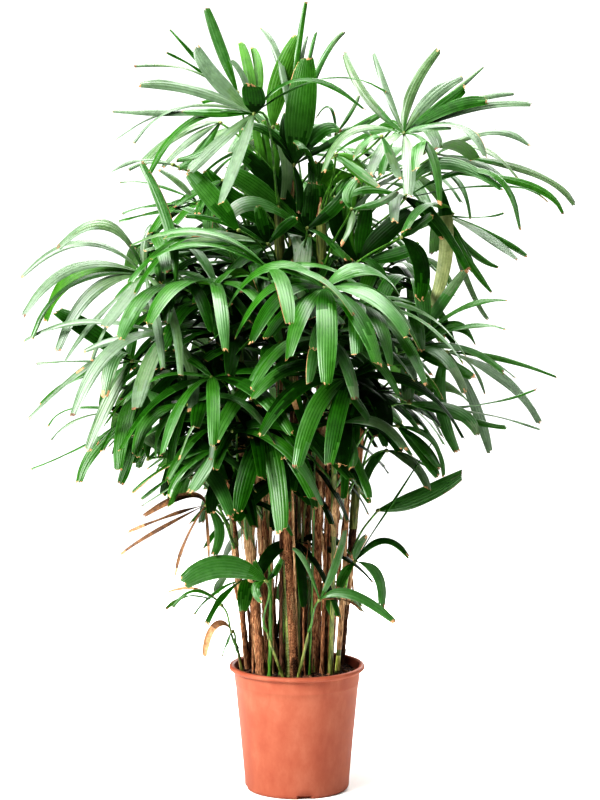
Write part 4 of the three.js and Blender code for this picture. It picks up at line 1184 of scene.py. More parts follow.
        Arch((332, 250), (352, 262), -20, 18, 50, UNDER),
        Arch((318, 250), (338, 272), -30, 22, 30, DEEP),
        Arch((292, 250), (282, 276), -40, 20, 30, SHADE),
        Arch((316, 195), (318, 161), 20, 40, 90, MID),
        Arch((238, 205), (200, 174), 0, 38, 80, DEEP),
        Arch((304, 258), (301, 300), -110, 28, 10, PALE),
    ),
    88: (
        Arch((336, 225), (337, 195), 0, 30, 88, SHADE),
        Arch((363, 230), (367, 204), 0, 30, 88, DEEP),
        Arch((382, 236), (414, 211), -30, 38, 75, SHADE),
        Arch((395, 254), (419, 243), -20, 26, 70, DEEP),
        Arch((346, 235), (347, 205), 30, 20, 80, MID),
        Arch((372, 262), (390, 285), -40, 22, 30, DEEP),
        Arch((348, 225), (360, 182), 20, 20, 80, UNDER),
    ),
    89: (
        Arch((252, 160), (243, 128), 20, 16, 85, UNDER),
        Arch((262, 160), (254, 122), 10, 18, 88, UNDER),
        Arch((268, 158), (263, 120), 20, 16, 88, UNDER),
        Arch((275, 158), (274, 122), 10, 18, 88, UNDER),
        Arch((285, 170), (296, 140), 30, 22, 88, DEEP),
        Arch((255, 190), (235, 178), 0, 30, 80, SHADE),
    ),
    90: (
        Arch((300, 112), (305, 57), -10, 58, 90, MID),
        Arch((287, 140), (290, 112), 20, 26, 90, SHADE),
        Arch((345, 134), (385, 111), -20, 16, 60, DEEP),
        Arch((320, 132), (341, 131), 20, 30, 60, DEEP),
        Arch((270, 132), (236, 122), -20, 20, 50, DEEP),
        Arch((300, 190), (301, 214), -40, 16, 20, SHADE),
    ),
    91: (
        Arch((279, 84), (297, 36), 10, 40, 90, UNDER),
        Arch((286, 158), (283, 200), -40, 28, 0, PALE),
    ),
    92: (
        Arch((205, 232), (148, 240), -20, 16, 50, MINT),
        Arch((208, 238), (142, 250), -30, 16, 45, PALE),
        Arch((212, 243), (148, 258), -40, 14, 45, DEEP),
        Arch((200, 250), (150, 262), -60, 14, 40, MID),
        Arch((225, 222), (185, 215), 0, 14, 50, DEEP),
        Arch((262, 222), (258, 205), 0, 24, 80, DEEP),
        Arch((285, 225), (296, 215), 0, 20, 80, DEEP),
        Arch((240, 262), (222, 282), -60, 24, 30, DEEP),
    ),
}

# Fronds that only the fine plant has: they close the crown between those of the rings.
FILL_RINGS = (
    Ring(34, (600, 1330), (185, 215), (-42, 20), (215, 255), (26, 34), (7, 9), 118, 8500, 160),
    Ring(64, (590, 1330), (280, 430), (-25, 60), (190, 250), (26, 38), (6, 9), 115, 9600, 33,
         (0.42, 1.0)),
)


class PlantRule:
    """Deals the fronds and leaflets by the solids' rule and finds which try of each stands."""

    scatter = {"height": 30, "place": 30, "out": 50, "turn": 40, "pitch": 24, "spread": 26}
    least_out = 25.0
    hub_spacing = 66.0
    fill_spacing = 42.0
    tries = 20
    same_place = 0.06                    # mm between a corner as dealt and as it stands
    stalk_match, leaf_match = 4, 3       # corners that have to be found for each to stand
    most_outside = 0.2                   # share of a leaflet that may pass the dense crown
    most_in_bay = 0.4                    # and that may hang before the inner leaves
    dealt_least = 2                      # leaflets that a frond without placed ones keeps
    fewest_filling = 3                   # leaflets that a frond needs to fill the crown

    def __init__(self, nodes: dict[str, bpy.types.Object]) -> None:
        """Gathers the corners of the solids that leaves and stalks are part of.

        Args:
            nodes: the solids by name.
        """
        corners = [np.array([v.co for v in node.data.vertices])
                   for name, node in nodes.items() if name.startswith(("crown_", "frond_"))]
        stacked = np.concatenate(corners)
        self.tree = KDTree(len(stacked))
        for k, corner in enumerate(stacked):
            self.tree.insert(corner, k)
        self.tree.balance()

    def found(self, corners: np.ndarray) -> int:
        """How many of some corners the solids have."""
        near = self.same_place * MM
        return sum(self.tree.find(Vector(corner * MM))[2] < near for corner in corners)

    @staticmethod
    def crown_at(z: float) -> tuple[float, float]:
        """The crown's middle along X and its reach from there, at a height."""
        heights, middles, reaches = zip(*REACH)
        return float(np.interp(z, heights, middles)), float(np.interp(z, heights, reaches))

    def cane_for(self, hub: Sequence[float], uses: dict[str, int]) -> str:
        """The cane that a ruled frond grows on.

        Args:
            hub: the frond's hub.
            uses: how many fronds each cane has.

        Returns:
            The name of the cane that costs least: near, tall enough and not crowded.
        """
        costs = {}
        for name, cane in CANES.items():
            if cane.crown is None:
                continue
            z = min(hub[2] - 60, cane.tip[2] - STALK.top_spare)
            place = cane.middle(z)
            away = math.hypot(hub[0] - place[0], hub[1] - place[1])
            short = max(0.0, hub[2] - z - 60 - STALK.below_share * away)
            costs[name] = away + 1.6 * short + 16 * uses.get(name, 0)
        return min(costs, key=costs.get)

    def deal_fronds(self) -> list[Frond]:
        """All fronds as they are dealt: those with a place of their own, then the rings."""
        fronds = [spec.set_out(OWN_SEED + k) for k, spec in enumerate(OWN_FRONDS)]
        uses: dict[str, int] = {}
        for frond in fronds:
            uses[frond.cane] = uses.get(frond.cane, 0) + 1
        for ring in RINGS:
            for k in range(ring.count):
                spec = self.deal_ruled(ring, k)
                if any(math.dist(other.hub, spec.hub) < self.hub_spacing for other in fronds):
                    continue
                spec.cane = self.cane_for(spec.hub, uses)
                uses[spec.cane] = uses.get(spec.cane, 0) + 1
                fronds.append(spec.set_out(ring.seed + k))
        return fronds

    def deal_ruled(self, ring: Ring, k: int) -> Frond:
        """One frond of a ring, before it has a cane."""
        random = Draws(ring.seed + k).next
        far = self.scatter
        share = (k + 0.5) / ring.count
        z = lerp(*ring.heights, share) + far["height"] * (random() - 0.5)
        turn = ring.start + k * GOLDEN_ANGLE + far["place"] * (random() - 0.5)
        middle, reach = self.crown_at(z)
        out = max(self.least_out, reach - lerp(*ring.inset, share) - far["out"] * random())
        around = math.radians(turn)
        return Frond(
            cane="", hub=(middle + out * math.cos(around), out * math.sin(around), z),
            turn=turn + far["turn"] * (random() - 0.5),
            pitch=lerp(*ring.pitch, share) + far["pitch"] * (random() - 0.5),
            count=math.floor(lerp(*ring.counts, random()) + 0.5),
            spread=ring.spread + far["spread"] * (random() - 0.5),
            length=lerp(*ring.length, random()), width=lerp(*ring.width, random()),
            stations=ring.stations,
        )

    @staticmethod
    def move_frond(frond: Frond, attempt: int) -> Frond:
        """A frond as it is tried: as dealt at first, then with its hub and foot moved."""
        if attempt == 0:
            return frond
        random = Draws(frond.seed * 71 + attempt).next
        way = np.array([random() - 0.5 for _ in range(3)])
        hub = np.array(frond.hub) + way * (12 + 8 * attempt)
        lowest, _ = foot_range(CANES[frond.cane])
        return replace(frond, hub=tuple(hub), attach=max(lowest, frond.attach - 60 * random()))

    @staticmethod
    def deal_leaflet(frond: Frond, index: int, attempt: int) -> Leaflet:
        """A leaflet as the rule deals it, moved a little at each further try.

        Args:
            frond: the frond that it grows on.
            index: its place in the fan.
            attempt: which try.

        Returns:
            The leaflet.
        """
        random = Draws(frond.seed * 97 + index * 13).next
        phi_noise, length_noise, width_noise, rise_noise, droop_noise, twist_noise = (
            random() * 2 - 1 for _ in range(6))
        nudge = Draws(frond.seed * 89 + index * 31 + attempt * 7).next
        far = 0.0 if attempt == 0 else lerp(0.4, 1, attempt / PlantRule.tries)
        phi_shift, rise_shift, droop_shift = ((nudge() * 2 - 1) * far for _ in range(3))
        gap = 2 * frond.spread / (frond.count - 1) if frond.count > 1 else 0.0
        phi = -frond.spread + gap * (index + 0.14 * phi_noise) + 10 * phi_shift
        rise = math.radians(frond.rise + 7 * rise_noise + 14 * rise_shift)
        forward, right = frond.forward, frond.right
        normal = np.cross(right, forward)
        in_plane = forward * math.cos(math.radians(phi)) + right * math.sin(math.radians(phi))
        direction = in_plane * math.cos(rise) + normal * math.sin(rise)
        bend = lerp(1, 1.9, 0.5 + 0.5 * droop_noise) * frond.limp
        return Leaflet(
            start=np.array(frond.hub), direction=direction,
            side=unit(np.cross(direction, normal)),
            length=frond.length * (1 - 0.16 * abs(phi / 180)) * (1 + 0.12 * length_noise),
            width=frond.width * (1 + 0.2 * width_noise),
            droop=max(0.0, bend + 0.25 * droop_shift),
            twist=math.radians(24 * twist_noise), stations=frond.stations,
        )

    def keeps_in(self, leaf: Leaflet) -> bool:
        """Whether a leaflet stays off the pot, under the top and inside the crown."""
        for x, y, z in leaf.corners():
            middle, reach = self.crown_at(z)
            if not LOWEST_LEAF < z < TOP - 4 or math.hypot(x - middle, y) > reach + CROWN_SLACK:
                return False
        return True

    def grow(self) -> list[Frond]:
        """Finds the fronds and leaflets that stand, and makes the fine plant's set of them.

        Leaflets that only had no room are added, those in open places are taken off, placed
        ones are put in and further fronds fill the crown.

        Returns:
            The fronds with their leaflets.
        """
        grown, stood, added = [], 0, 0
        for dealt in self.deal_fronds():
            tried = (self.move_frond(dealt, attempt) for attempt in range(self.tries))
            frond = next((f for f in tried if self.found(STALK.corners(f)) >= self.stalk_match),
                         None)
            if frond is None:
                continue
            for index in range(frond.count):
                tried = (self.deal_leaflet(frond, index, k) for k in range(self.tries))
                leaf = next((one for one in tried
                             if self.found(one.corners()) >= self.leaf_match), None)
                stood += leaf is not None
                if leaf is None:
                    leaf = self.deal_leaflet(frond, index, 0)
                    if not self.keeps_in(leaf):
                        continue
                    added += 1
                frond.leaflets.append(leaf)
            grown.append(frond)
        log.info("%d fronds, %d leaflets stand, %d added", len(grown), stood, added)
        grown += [spec.set_out(FURTHER_SEED + k) for k, spec in enumerate(FURTHER_FRONDS)]
        for number, frond in enumerate(grown):
            self.thin(frond, least=0 if number in ARCHES else self.dealt_least)
        self.place_arches(grown)
        fill = self.fill(grown)
        log.info("%d fronds fill the crown, %d leaflets", len(fill),
                 sum(len(frond.leaflets) for frond in fill))
        return grown + fill

    @staticmethod
    def outside(leaf: Leaflet) -> float:
        """How much of a leaflet lies past the dense part of the crown, seen from the front."""
        places, _ = leaf.midline()
        eye = np.array(SIGHT.place)
        x, _, z = (eye + (places - eye) * (-eye[1] / (places[:, 1:2] - eye[1]))).T
        heights, lefts, rights = zip(*DENSE)
        past = np.maximum(np.interp(z, heights, lefts) - x, x - np.interp(z, heights, rights))
        return float(((past > 0) | (z < heights[0])).mean())

    @staticmethod
    def in_bay(leaf: Leaflet) -> float:
        """How much of a leaflet hangs in front of the upright inner leaves."""
        x, y, z = leaf.midline()[0].T
        return float(((z > BAY_LOW) & (BAY_SIDES[0] < x) & (x < BAY_SIDES[1])
                      & (y < BAY_DEPTH)).mean())

    def thin(self, frond: Frond, least: int) -> None:
        """Takes off the leaflets that would close the open places of the crown.

        Args:
            frond: the frond, left as it is where it starts under the dense crown.
            least: how many leaflets it keeps at least, the innermost ones.
        """
        if frond.hub[2] < DENSE[0][0]:
            return
        ranked = sorted(frond.leaflets, key=self.outside)
        kept = [leaf for leaf in ranked
                if self.outside(leaf) < self.most_outside and self.in_bay(leaf) < self.most_in_bay]
        frond.leaflets = kept if len(kept) >= least else ranked[:least]

    @staticmethod
    def place_arches(grown: Sequence[Frond]) -> None:
        """Adds the leaflets with places of their own, each for the dealt one nearest its way."""
        for number, arches in ARCHES.items():
            frond = grown[number]
            random = Draws(number).next
            placed = [ArchedLeaflet.from_arch(frond.hub, arch, math.radians(14 * random() - 7))
                      for arch in arches]
            for leaf in placed:
                if frond.leaflets:
                    near = max(frond.leaflets, key=lambda one: one.direction @ leaf.direction)
                    frond.leaflets.remove(near)
            frond.leaflets += placed

    def fill(self, grown: Sequence[Frond]) -> list[Frond]:
        """Grows the fronds that close the crown.

        Args:
            grown: the fronds that stand.

        Returns:
            The further fronds, with their leaflets.
        """
        uses = {name: 0 for name in CANES}
        fill: list[Frond] = []
        for ring in FILL_RINGS:
            for k in range(ring.count):
                spec = self.deal_ruled(ring, k)
                if any(math.dist(other.hub, spec.hub) < self.fill_spacing
                       for other in (*grown, *fill)) or self.is_in_bay(spec):
                    continue
                spec.cane = self.cane_for(spec.hub, uses)
                uses[spec.cane] += 1
                frond = spec.set_out(ring.seed + k)
                dealt = (self.deal_leaflet(frond, index, 0) for index in range(frond.count))
                frond.leaflets = [leaf for leaf in dealt if self.keeps_in(leaf)]
                self.thin(frond, least=0)
                if len(frond.leaflets) >= self.fewest_filling:
                    fill.append(frond)
        return fill

    @staticmethod
    def is_in_bay(frond: Frond) -> bool:
        """Whether a frond's hub is in front of the upright inner leaves."""
        x, y, z = frond.hub
        return z > BAY_LOW and BAY_SIDES[0] < x < BAY_SIDES[1] and y < BAY_DEPTH


# ---------------------------------------------------------------- pot and soil

@dataclass
class Pot:
    """The moulded nursery pot."""

    height: float = 250
    base_radius: float = 104
    wall_top_radius: float = 126
    foot_radius: float = 98
    foot_rise: float = 9
    wall: float = 2.6
    floor: float = 3
    ledge_height: float = 10
    ledge_width: float = 22
    rim_radius: float = 135
    rim_height: float = 10
    collar_drop: float = 27
    collar_step: float = 0.8
    notch_count: int = 4
    notch_width: float = 28
    notch_height: float = 6.5
    notch_turn: float = -81.3
    facets: int = 192

    def wall_at(self, z: float) -> float:
        """The wall's outer radius at a height."""
        slope = (self.wall_top_radius - self.base_radius) / (
            self.height - self.rim_height - self.foot_rise)
        return self.base_radius + (z - self.foot_rise) * slope

    def inside(self, z: float) -> float:
        """The wall's inner radius at a height."""
        return self.wall_at(z) - self.wall

    def outline(self) -> np.ndarray:
        """The radius and height of each point of the section, up the outside, down the inside."""
        rim_bottom = self.height - self.rim_height
        collar = rim_bottom - self.collar_drop
        roll = self.rim_height / 2
        foot = [(lerp(self.foot_radius, self.base_radius, math.sin(a)),
                 self.foot_rise * (1 - math.cos(a))) for a in np.linspace(0, math.pi / 2, 7)]
        wall = [(self.wall_at(z) - self.collar_step, z)
                for z in np.linspace(self.foot_rise + 12, collar - 1.6, 14)]
        step = [(self.wall_at(collar) - 0.2, collar - 0.5), (self.wall_at(collar), collar)]
        band = [(self.wall_at(z), z) for z in np.linspace(collar + 4, rim_bottom - 1.5, 4)]
        neck = [(self.wall_top_radius + 0.4, rim_bottom)]
        rim = [(self.rim_radius - roll + roll * math.cos(a), self.height - roll + roll * math.sin(a))
               for a in np.radians(np.linspace(-80, 100, 15))]
        lip = [(self.wall_top_radius - self.wall + 2.2, self.height - 0.8),
               (self.wall_top_radius - self.wall + 0.5, self.height - 2.2)]
        inside = [(self.inside(z), z)
                  for z in np.linspace(self.height - roll, self.ledge_height, 12)]
        ledge = self.inside(self.ledge_height) - self.ledge_width
        floor = [(ledge, self.ledge_height), (ledge, self.floor)]
        return np.array([*foot, *wall, *step, *band, *neck, *rim, *lip, *inside, *floor])

    def build(self) -> None:
        """Builds the wall, rim and floor in one skin, with the notches pressed into the foot."""
        section = self.outline()
        angles = np.linspace(0, 2 * math.pi, self.facets, endpoint=False)
        radius, z = section[:, 0][:, None], section[:, 1][:, None]
        rings = np.stack([radius * np.cos(angles), radius * np.sin(angles),
                          z + np.zeros_like(angles)], -1)
        self.press_notches(rings, angles)
        skin = Skin("pot_wall", [POT_PLASTIC])
        skin.tube(rings, flat_ends=False)
        skin.finish("pot_plastic", ["pot"])

    def press_notches(self, rings: np.ndarray, angles: np.ndarray) -> None:
        """Draws the rounded foot in at each drainage notch.

        Args:
            rings: the rings of the pot, changed in place.
            angles: the angle of each point of a ring.
        """
        for k in range(self.notch_count):
            middle = math.radians(self.notch_turn + k * 360 / self.notch_count)
            off = (angles - middle + math.pi) % (2 * math.pi) - math.pi
            across = np.abs(off) * self.base_radius / (self.notch_width / 2)
            inside = np.clip((1.08 - across) / 0.16, 0, 1)
            for ring in rings:
                height = ring[0, 2]
                if height > self.notch_height + 4 or np.hypot(*ring[0, :2]) < self.foot_radius - 1:
                    continue
                drawn = inside * np.clip((self.notch_height + 1.5 - height) / 3, 0, 1) * 9
                share = 1 - drawn / np.hypot(ring[:, 0], ring[:, 1])
                ring[:, 0] *= share
                ring[:, 1] *= share


@dataclass
class Soil:
    """The bark mulch in the pot: an uneven plug with loose chips on it."""

    pot: Pot
    chips: int = 1500
    swell: float = 3.2                 # unevenness of the surface, mm
    chip_sizes: tuple[float, float] = (4, 17)
    seed: int = 31

    def surface(self, x: np.ndarray, y: np.ndarray) -> np.ndarray:
        """Height of the mulch at some places."""
        waves = (np.sin(x / 17 + 1.3) * np.cos(y / 14 + 0.4) + 0.6 * np.sin(x / 7.3 - y / 9.1)
                 + 0.4 * np.cos(x / 4.1 + y / 5.3 + 2))
        return SOIL_TOP - self.swell + self.swell * 0.5 * waves

    def build(self) -> None:
        """Builds the plug and its chips."""
        random = np.random.default_rng(self.seed)
        skin = Skin("mulch", [MULCH_SOIL, CHIP_DARK, CHIP_RED, CHIP_PALE])
        edge = self.pot.inside(SOIL_TOP) - 0.8
        angles = np.linspace(0, 2 * math.pi, 120, endpoint=False)
        rings = [np.stack([r * np.cos(angles), r * np.sin(angles),
                           np.full_like(angles, z)], -1)
                 for r, z in ((self.pot.inside(40) - 2, 30.0), (edge - 6, SOIL_TOP - 40))]
        for r in np.linspace(edge, 3, 44):
            x, y = r * np.cos(angles), r * np.sin(angles)
            rings.append(np.stack([x, y, self.surface(x, y)], -1))
        skin.tube(np.array(rings), 0, flat_ends=False)
        box = np.array([(x, y, z) for x in (-1, 1) for y in (-1, 1) for z in (-1, 1)], float)
        quads = np.array([(0, 1, 3, 2), (4, 6, 7, 5), (0, 4, 5, 1), (2, 3, 7, 6), (0, 2, 6, 4),
                          (1, 5, 7, 3)])
        for _ in range(self.chips):
            out = (edge - 5) * math.sqrt(random.random())
            turn = random.uniform(0, 2 * math.pi)
            x, y = out * math.cos(turn), out * math.sin(turn)
            long = lerp(*self.chip_sizes, random.random() ** 2) / 2
            half = np.array((long, long * random.uniform(0.25, 0.6), random.uniform(0.6, 1.9)))
            corners = box * half * random.uniform(0.6, 1.15, (8, 3))
            tilt = Euler((random.normal(0, 0.35), random.normal(0, 0.35),
                          random.uniform(0, math.pi))).to_matrix()
            corners = corners @ np.array(tilt).T
            z = min(float(self.surface(np.float64(x), np.float64(y))) + half[2] * 0.7,
                    SOIL_TOP + 1.0)
            kind = 1 + int(random.choice(3, p=(0.5, 0.34, 0.16)))
            skin.add(corners + (x, y, z), quads, kind, np.ones(8, bool))
        skin.finish("bark_mulch", ["soil"])


# ---------------------------------------------------------------- canes

@dataclass
class CaneStand:
    """The clump's canes, with their fibre, rings, old leaf bases and the strands of their skin."""

    step: float = 5.0                  # mm between the rings of a cane's mesh
    fine_step: float = 1.7             # and where fibre is wound round it
    winding: float = 5.6               # mm from one winding to the next
    sides: int = 26
    slender: float = 6.0               # canes up to this radius get fewer sides
    slender_sides: int = 16
    ring_spacing: float = 30.0         # between the rings of the ringed cane
    joint_spacing: float = 62.0        # and of the green ones
    skirt: float = 330.0               # height that the ringed cane's dry sheath starts at
    strap: float = 470.0               # and that the wrapped cane's green strap ends at
    base_spacing: float = 46.0         # between the edges of the old leaf bases
    base_lip: float = 1.7              # how far such an edge stands out
    weave: float = 0.45                # height of the crossing strands
    seed: int = 57

    def relief(self, cane: Cane, angle: np.ndarray, z: np.ndarray,
               random: np.random.Generator) -> np.ndarray:
        """How far a cane's skin stands out from its plain radius.

        Args:
            cane: the cane.
            angle: of each point of a ring, as a row.
            z: height of each ring, as a column.
            random: the cane's own draws.

        Returns:
            Millimetres at each ring and angle.
        """
        phase = random.uniform(0, 2 * math.pi, 6)
        if cane.bark in (Bark.GREEN, Bark.RINGED):
            spacing = self.ring_spacing if cane.bark is Bark.RINGED else self.joint_spacing
            along = ((z - FOOT_Z) / spacing + phase[0]) % 1
            ring = np.exp(-((along - 0.5) * spacing / 1.6) ** 2)
            return 0.55 * ring - 0.25 * np.exp(-((along - 0.56) * spacing / 2) ** 2) + 0 * angle
        if cane.bark is Bark.WRAPPED:
            wind = 2 * math.pi * z / self.winding + 1.1 * np.sin(angle + phase[0] + z / 23)
            rough = np.sin(5 * angle + z / 3.1 + phase[1]) * np.sin(4 * angle - z / 4.3)
            return 0.75 * np.sin(wind) + 0.45 * rough + 0.5 * np.sin(2 * angle + z / 37)
        lean = 0.24 * np.sin(angle + phase[0] + z / 90)
        along = ((z - FOOT_Z) / self.base_spacing + lean + phase[1]) % 1
        lip = self.base_lip * np.clip(along, 0, 1) ** 2.5
        weave = self.weave * np.sin(7 * angle + z / 5.5) * np.sin(7 * angle - z / 6.5 + phase[2])
        strands = 0.35 * np.sin(13 * angle + phase[3] + 0.8 * np.sin(z / 37))
        lumps = 0.5 * np.sin(2 * angle + z / 31 + phase[4]) * np.sin(z / 47 + phase[5])
        return lip + weave + strands + lumps - 0.6

    def deal_slots(self, cane: Cane, angle: np.ndarray, z: np.ndarray,
                   random: np.random.Generator) -> np.ndarray:
        """Which finish each face of a cane gets.

        Args:
            cane: the cane.
            angle: of each face, as a row.
            z: height of each face, as a column.
            random: the cane's own draws.

        Returns:
            Slots of [brown, dark, tan, green, yellow].
        """
        phase = random.uniform(0, 2 * math.pi, 6)
        patch = (np.sin(angle + z / 75 + phase[0]) + np.sin(2 * angle - z / 49 + phase[1])
                 + 0.8 * np.sin(z / 29 + phase[2]) + 0.5 * np.sin(5 * angle + z / 17 + phase[3]))
        if cane.bark is Bark.GREEN:
            return np.where(patch > 2.2, 2, 3)
        if cane.bark is Bark.RINGED:
            knot = np.floor((z - FOOT_Z) / self.ring_spacing + phase[0])
            kind = (np.sin(knot * 2.4 + phase[1]) * 3) % 3
            low = np.where(kind < 1.6, 4, 3) + 0 * angle
            return np.where(z > self.skirt + 14 * np.sin(angle), 2, low).astype(int)
        if cane.bark is Bark.SHEATH:
            return np.where(patch > 1.9, 3, np.where(patch < 1.1, 0, 2))
        if cane.bark is Bark.DARK:
            return np.where(patch > 1.7, 0, 1)
        green = (np.cos(angle - 3.4) > 0.55) & (z < self.strap) & (cane.bark is Bark.WRAPPED)
        plain = np.where(patch > 1.7, 2, np.where(patch < -1.5, 1, 0))
        return np.where(green, 3, plain)

    def build(self) -> None:
        """Builds the brown canes and the green ones, each group as one piece."""
        finishes = [FIBRE_BROWN, FIBRE_DARK, FIBRE_TAN, SHEATH_GREEN, CANE_YELLOW]
        green = {n for n, c in CANES.items() if c.bark in (Bark.GREEN, Bark.RINGED)}
        for name, slot, members in (("canes_fibrous", "cane_fibre", set(CANES) - green),
                                    ("canes_green", "green_cane", green)):
            skin = Skin(name, finishes)
            for index, (key, cane) in enumerate(CANES.items()):
                if key in members:
                    self.grow_cane(skin, cane, np.random.default_rng(self.seed + index))
            skin.finish(slot, [f"cane_{key}" for key in CANES if key in members])

    def grow_cane(self, skin: Skin, cane: Cane, random: np.random.Generator) -> None:
        """Adds one cane, from the mulch to its tip, to a skin."""
        step = self.fine_step if cane.bark is Bark.WRAPPED else self.step
        rows = max(8, int((cane.tip[2] - FOOT_Z) / step))
        sides = self.sides if max(cane.radii) > self.slender else self.slender_sides
        z = np.linspace(FOOT_Z - 1.5, cane.tip[2] - 2, rows)
        angle = np.linspace(0, 2 * math.pi, sides, endpoint=False)
        radius = cane.radius(np.maximum(z, FOOT_Z))[:, None]
        scale = np.minimum(1, radius / 8)
        radius = radius - 0.2 + scale * self.relief(cane, angle[None], z[:, None], random)
        taper = np.clip((cane.tip[2] - z) / 30, 0.25, 1)[:, None]
        middles = cane.bowed(z)
        rings = middles[:, None] + np.stack(
            [radius * taper * np.cos(angle), radius * taper * np.sin(angle),
             np.zeros_like(radius * angle)], -1)
        between = (z[:-1] + z[1:]) / 2
        slots = self.deal_slots(cane, angle[None] + math.pi / sides, between[:, None], random)
        skin.tube(rings, slots)


@dataclass
class OldStems:
    """Old stalks and thin stems that stand close among the canes."""

    count: int = 52
    middle: tuple[float, float] = (-12, 16)
    spread: tuple[float, float] = (88, 82)
    heights: tuple[float, float] = (330, 800)
    radii: tuple[float, float] = (1.6, 4.6)
    splay: float = 0.32                # how far the tops lean out, as a share of the feet
    rows: int = 24
    sides: int = 9
    seed: int = 147

    def build(self) -> None:
        """Builds the stems as one piece."""
        random = np.random.default_rng(self.seed)
        skin = Skin("old_stems", [FIBRE_BROWN, FIBRE_DARK, FIBRE_TAN, STALK_GREEN, SHEATH_GREEN])
        for k in range(self.count):
            out = math.sqrt((k + 0.5) / self.count)
            turn = math.radians(k * GOLDEN_ANGLE)
            foot = np.array((self.middle[0] + self.spread[0] * out * math.cos(turn),
                             self.middle[1] + self.spread[1] * out * math.sin(turn)))
            height = random.uniform(*self.heights)
            lean = self.splay * (height - FOOT_Z) / 500 * (foot - self.middle)
            lean = lean + random.normal(0, 9, 2)
            share = np.linspace(0, 1, self.rows)
            bow = np.outer(np.sin(math.pi * share), random.normal(0, 5, 2))
            flat = foot + np.outer(share ** 1.3, lean) + bow
            line = np.column_stack([flat, lerp(FOOT_Z - 2, height, share)])
            radius = random.uniform(*self.radii)
            lumps = 1 + 0.14 * np.sin(share * random.uniform(20, 60) + random.uniform(0, 6))
            radii = radius * lumps * np.interp(share, (0, 0.05, 0.9, 1), (1.4, 1.05, 0.85, 0.4))
            kind = int(random.choice(5, p=(0.4, 0.2, 0.22, 0.1, 0.08)))
            ways = unit(np.gradient(line, axis=0))
            skin.tube(round_rings(line, ways, radii, self.sides), kind)
        skin.finish("cane_fibre", [])


@dataclass
class Litter:
    """Loose fibre, cut stubs and dead strips on and between the canes."""

    strands: int = 620
    stubs: int = 34
    strips: int = 26
    seed: int = 211

    def build(self) -> None:
        """Builds all of it as one piece on the canes."""
        random = np.random.default_rng(self.seed)
        skin = Skin("cane_litter", [FIBRE_BROWN, FIBRE_DARK, FIBRE_TAN])
        bare = [c for c in CANES.values() if c.bark not in (Bark.GREEN, Bark.RINGED)]
        for _ in range(self.strands):
            self.add_strand(skin, bare[random.integers(len(bare))], random)
        for _ in range(self.stubs):
            self.add_stub(skin, bare[random.integers(len(bare))], random)
        tall = [cane for cane in bare if cane.tip[2] > 500]
        for _ in range(self.strips):
            self.add_strip(skin, tall[random.integers(len(tall))], random)
        skin.finish("cane_fibre", [])

    @staticmethod
    def add_strand(skin: Skin, cane: Cane, random: np.random.Generator) -> None:
        """Adds one loose strand of fibre that follows a cane and springs off at its ends."""
        low = random.uniform(FOOT_Z + 4, min(720, cane.tip[2] - 90))
        z = low + np.linspace(0, random.uniform(18, 75), 7)
        turn = random.uniform(0, 2 * math.pi) + np.linspace(0, random.normal(0, 0.5), 7)
        spring = random.uniform(0.5, 5) * np.linspace(-1, 1, 7) ** 4
        out = cane.radius(z) + 0.9 + spring
        line = cane.bowed(z) + np.stack([out * np.cos(turn), out * np.sin(turn), 0 * z], -1)
        ways = unit(np.gradient(line, axis=0))
        radii = np.full(7, random.uniform(0.3, 0.6)) * np.linspace(1, 0.5, 7)
        skin.tube(round_rings(line, ways, radii, 3), int(random.choice(3, p=(0.5, 0.2, 0.3))))

    @staticmethod
    def add_stub(skin: Skin, cane: Cane, random: np.random.Generator) -> None:
        """Adds the cut end of an old stalk that stands off a cane."""
        z = random.uniform(FOOT_Z + 8, min(600, cane.tip[2] - 60))
        turn = random.uniform(0, 2 * math.pi)
        out = heading(turn, math.radians(random.uniform(58, 78)))
        long = random.uniform(14, 44)
        foot = cane.middle(z) + heading(turn, 0) * (float(cane.radius(np.float64(z))) - 1)
        line = foot + np.outer(np.linspace(0, long, 5), out)
        radii = random.uniform(1.8, 3.2) * np.array((1.5, 1.15, 1, 0.95, 0.9))
        skin.tube(round_rings(line, np.tile(out, (5, 1)), radii, 7),
                  int(random.choice(3, p=(0.45, 0.2, 0.35))))

    @staticmethod
    def add_strip(skin: Skin, cane: Cane, random: np.random.Generator) -> None:
        """Adds a dead strip of leaf that hangs beside a cane."""
        z = random.uniform(400, min(690, cane.tip[2] - 20))
        turn = random.uniform(0, 2 * math.pi)
        rows, long = 10, random.uniform(50, 130)
        share = np.linspace(0, 1, rows)
        away = float(cane.radius(np.float64(z))) + 1 + 12 * np.sin(share * 2.4) * random.random()
        line = cane.middle(z) + np.stack(
            [away * math.cos(turn), away * math.sin(turn), -long * share + 6 * share * (1 - share)], -1)
        side = heading(turn + math.pi / 2 + random.uniform(-0.6, 0.6), 0)
        wide = random.uniform(1.6, 5.0) * np.sin(math.pi * np.clip(share * 0.9 + 0.1, 0, 1))
        curl = share * random.normal(0, 1.2)
        sides = side * np.cos(curl)[:, None] + heading(turn, 0) * np.sin(curl)[:, None]
        normals = unit(np.cross(sides, np.array((0.0, 0.0, -1.0))))
        grid = line[:, None] + sides[:, None] * (np.linspace(-1, 1, 5) * wide[:, None])[..., None]
        grid = grid + normals[:, None] * (np.array((0, 0.8, 0.2, 0.8, 0)) * 1.2)[None, :, None]
        skin.sheet(grid, np.broadcast_to(normals[:, None], grid.shape), 0.5, 2, 2)


# ---------------------------------------------------------------- stalks and leaves

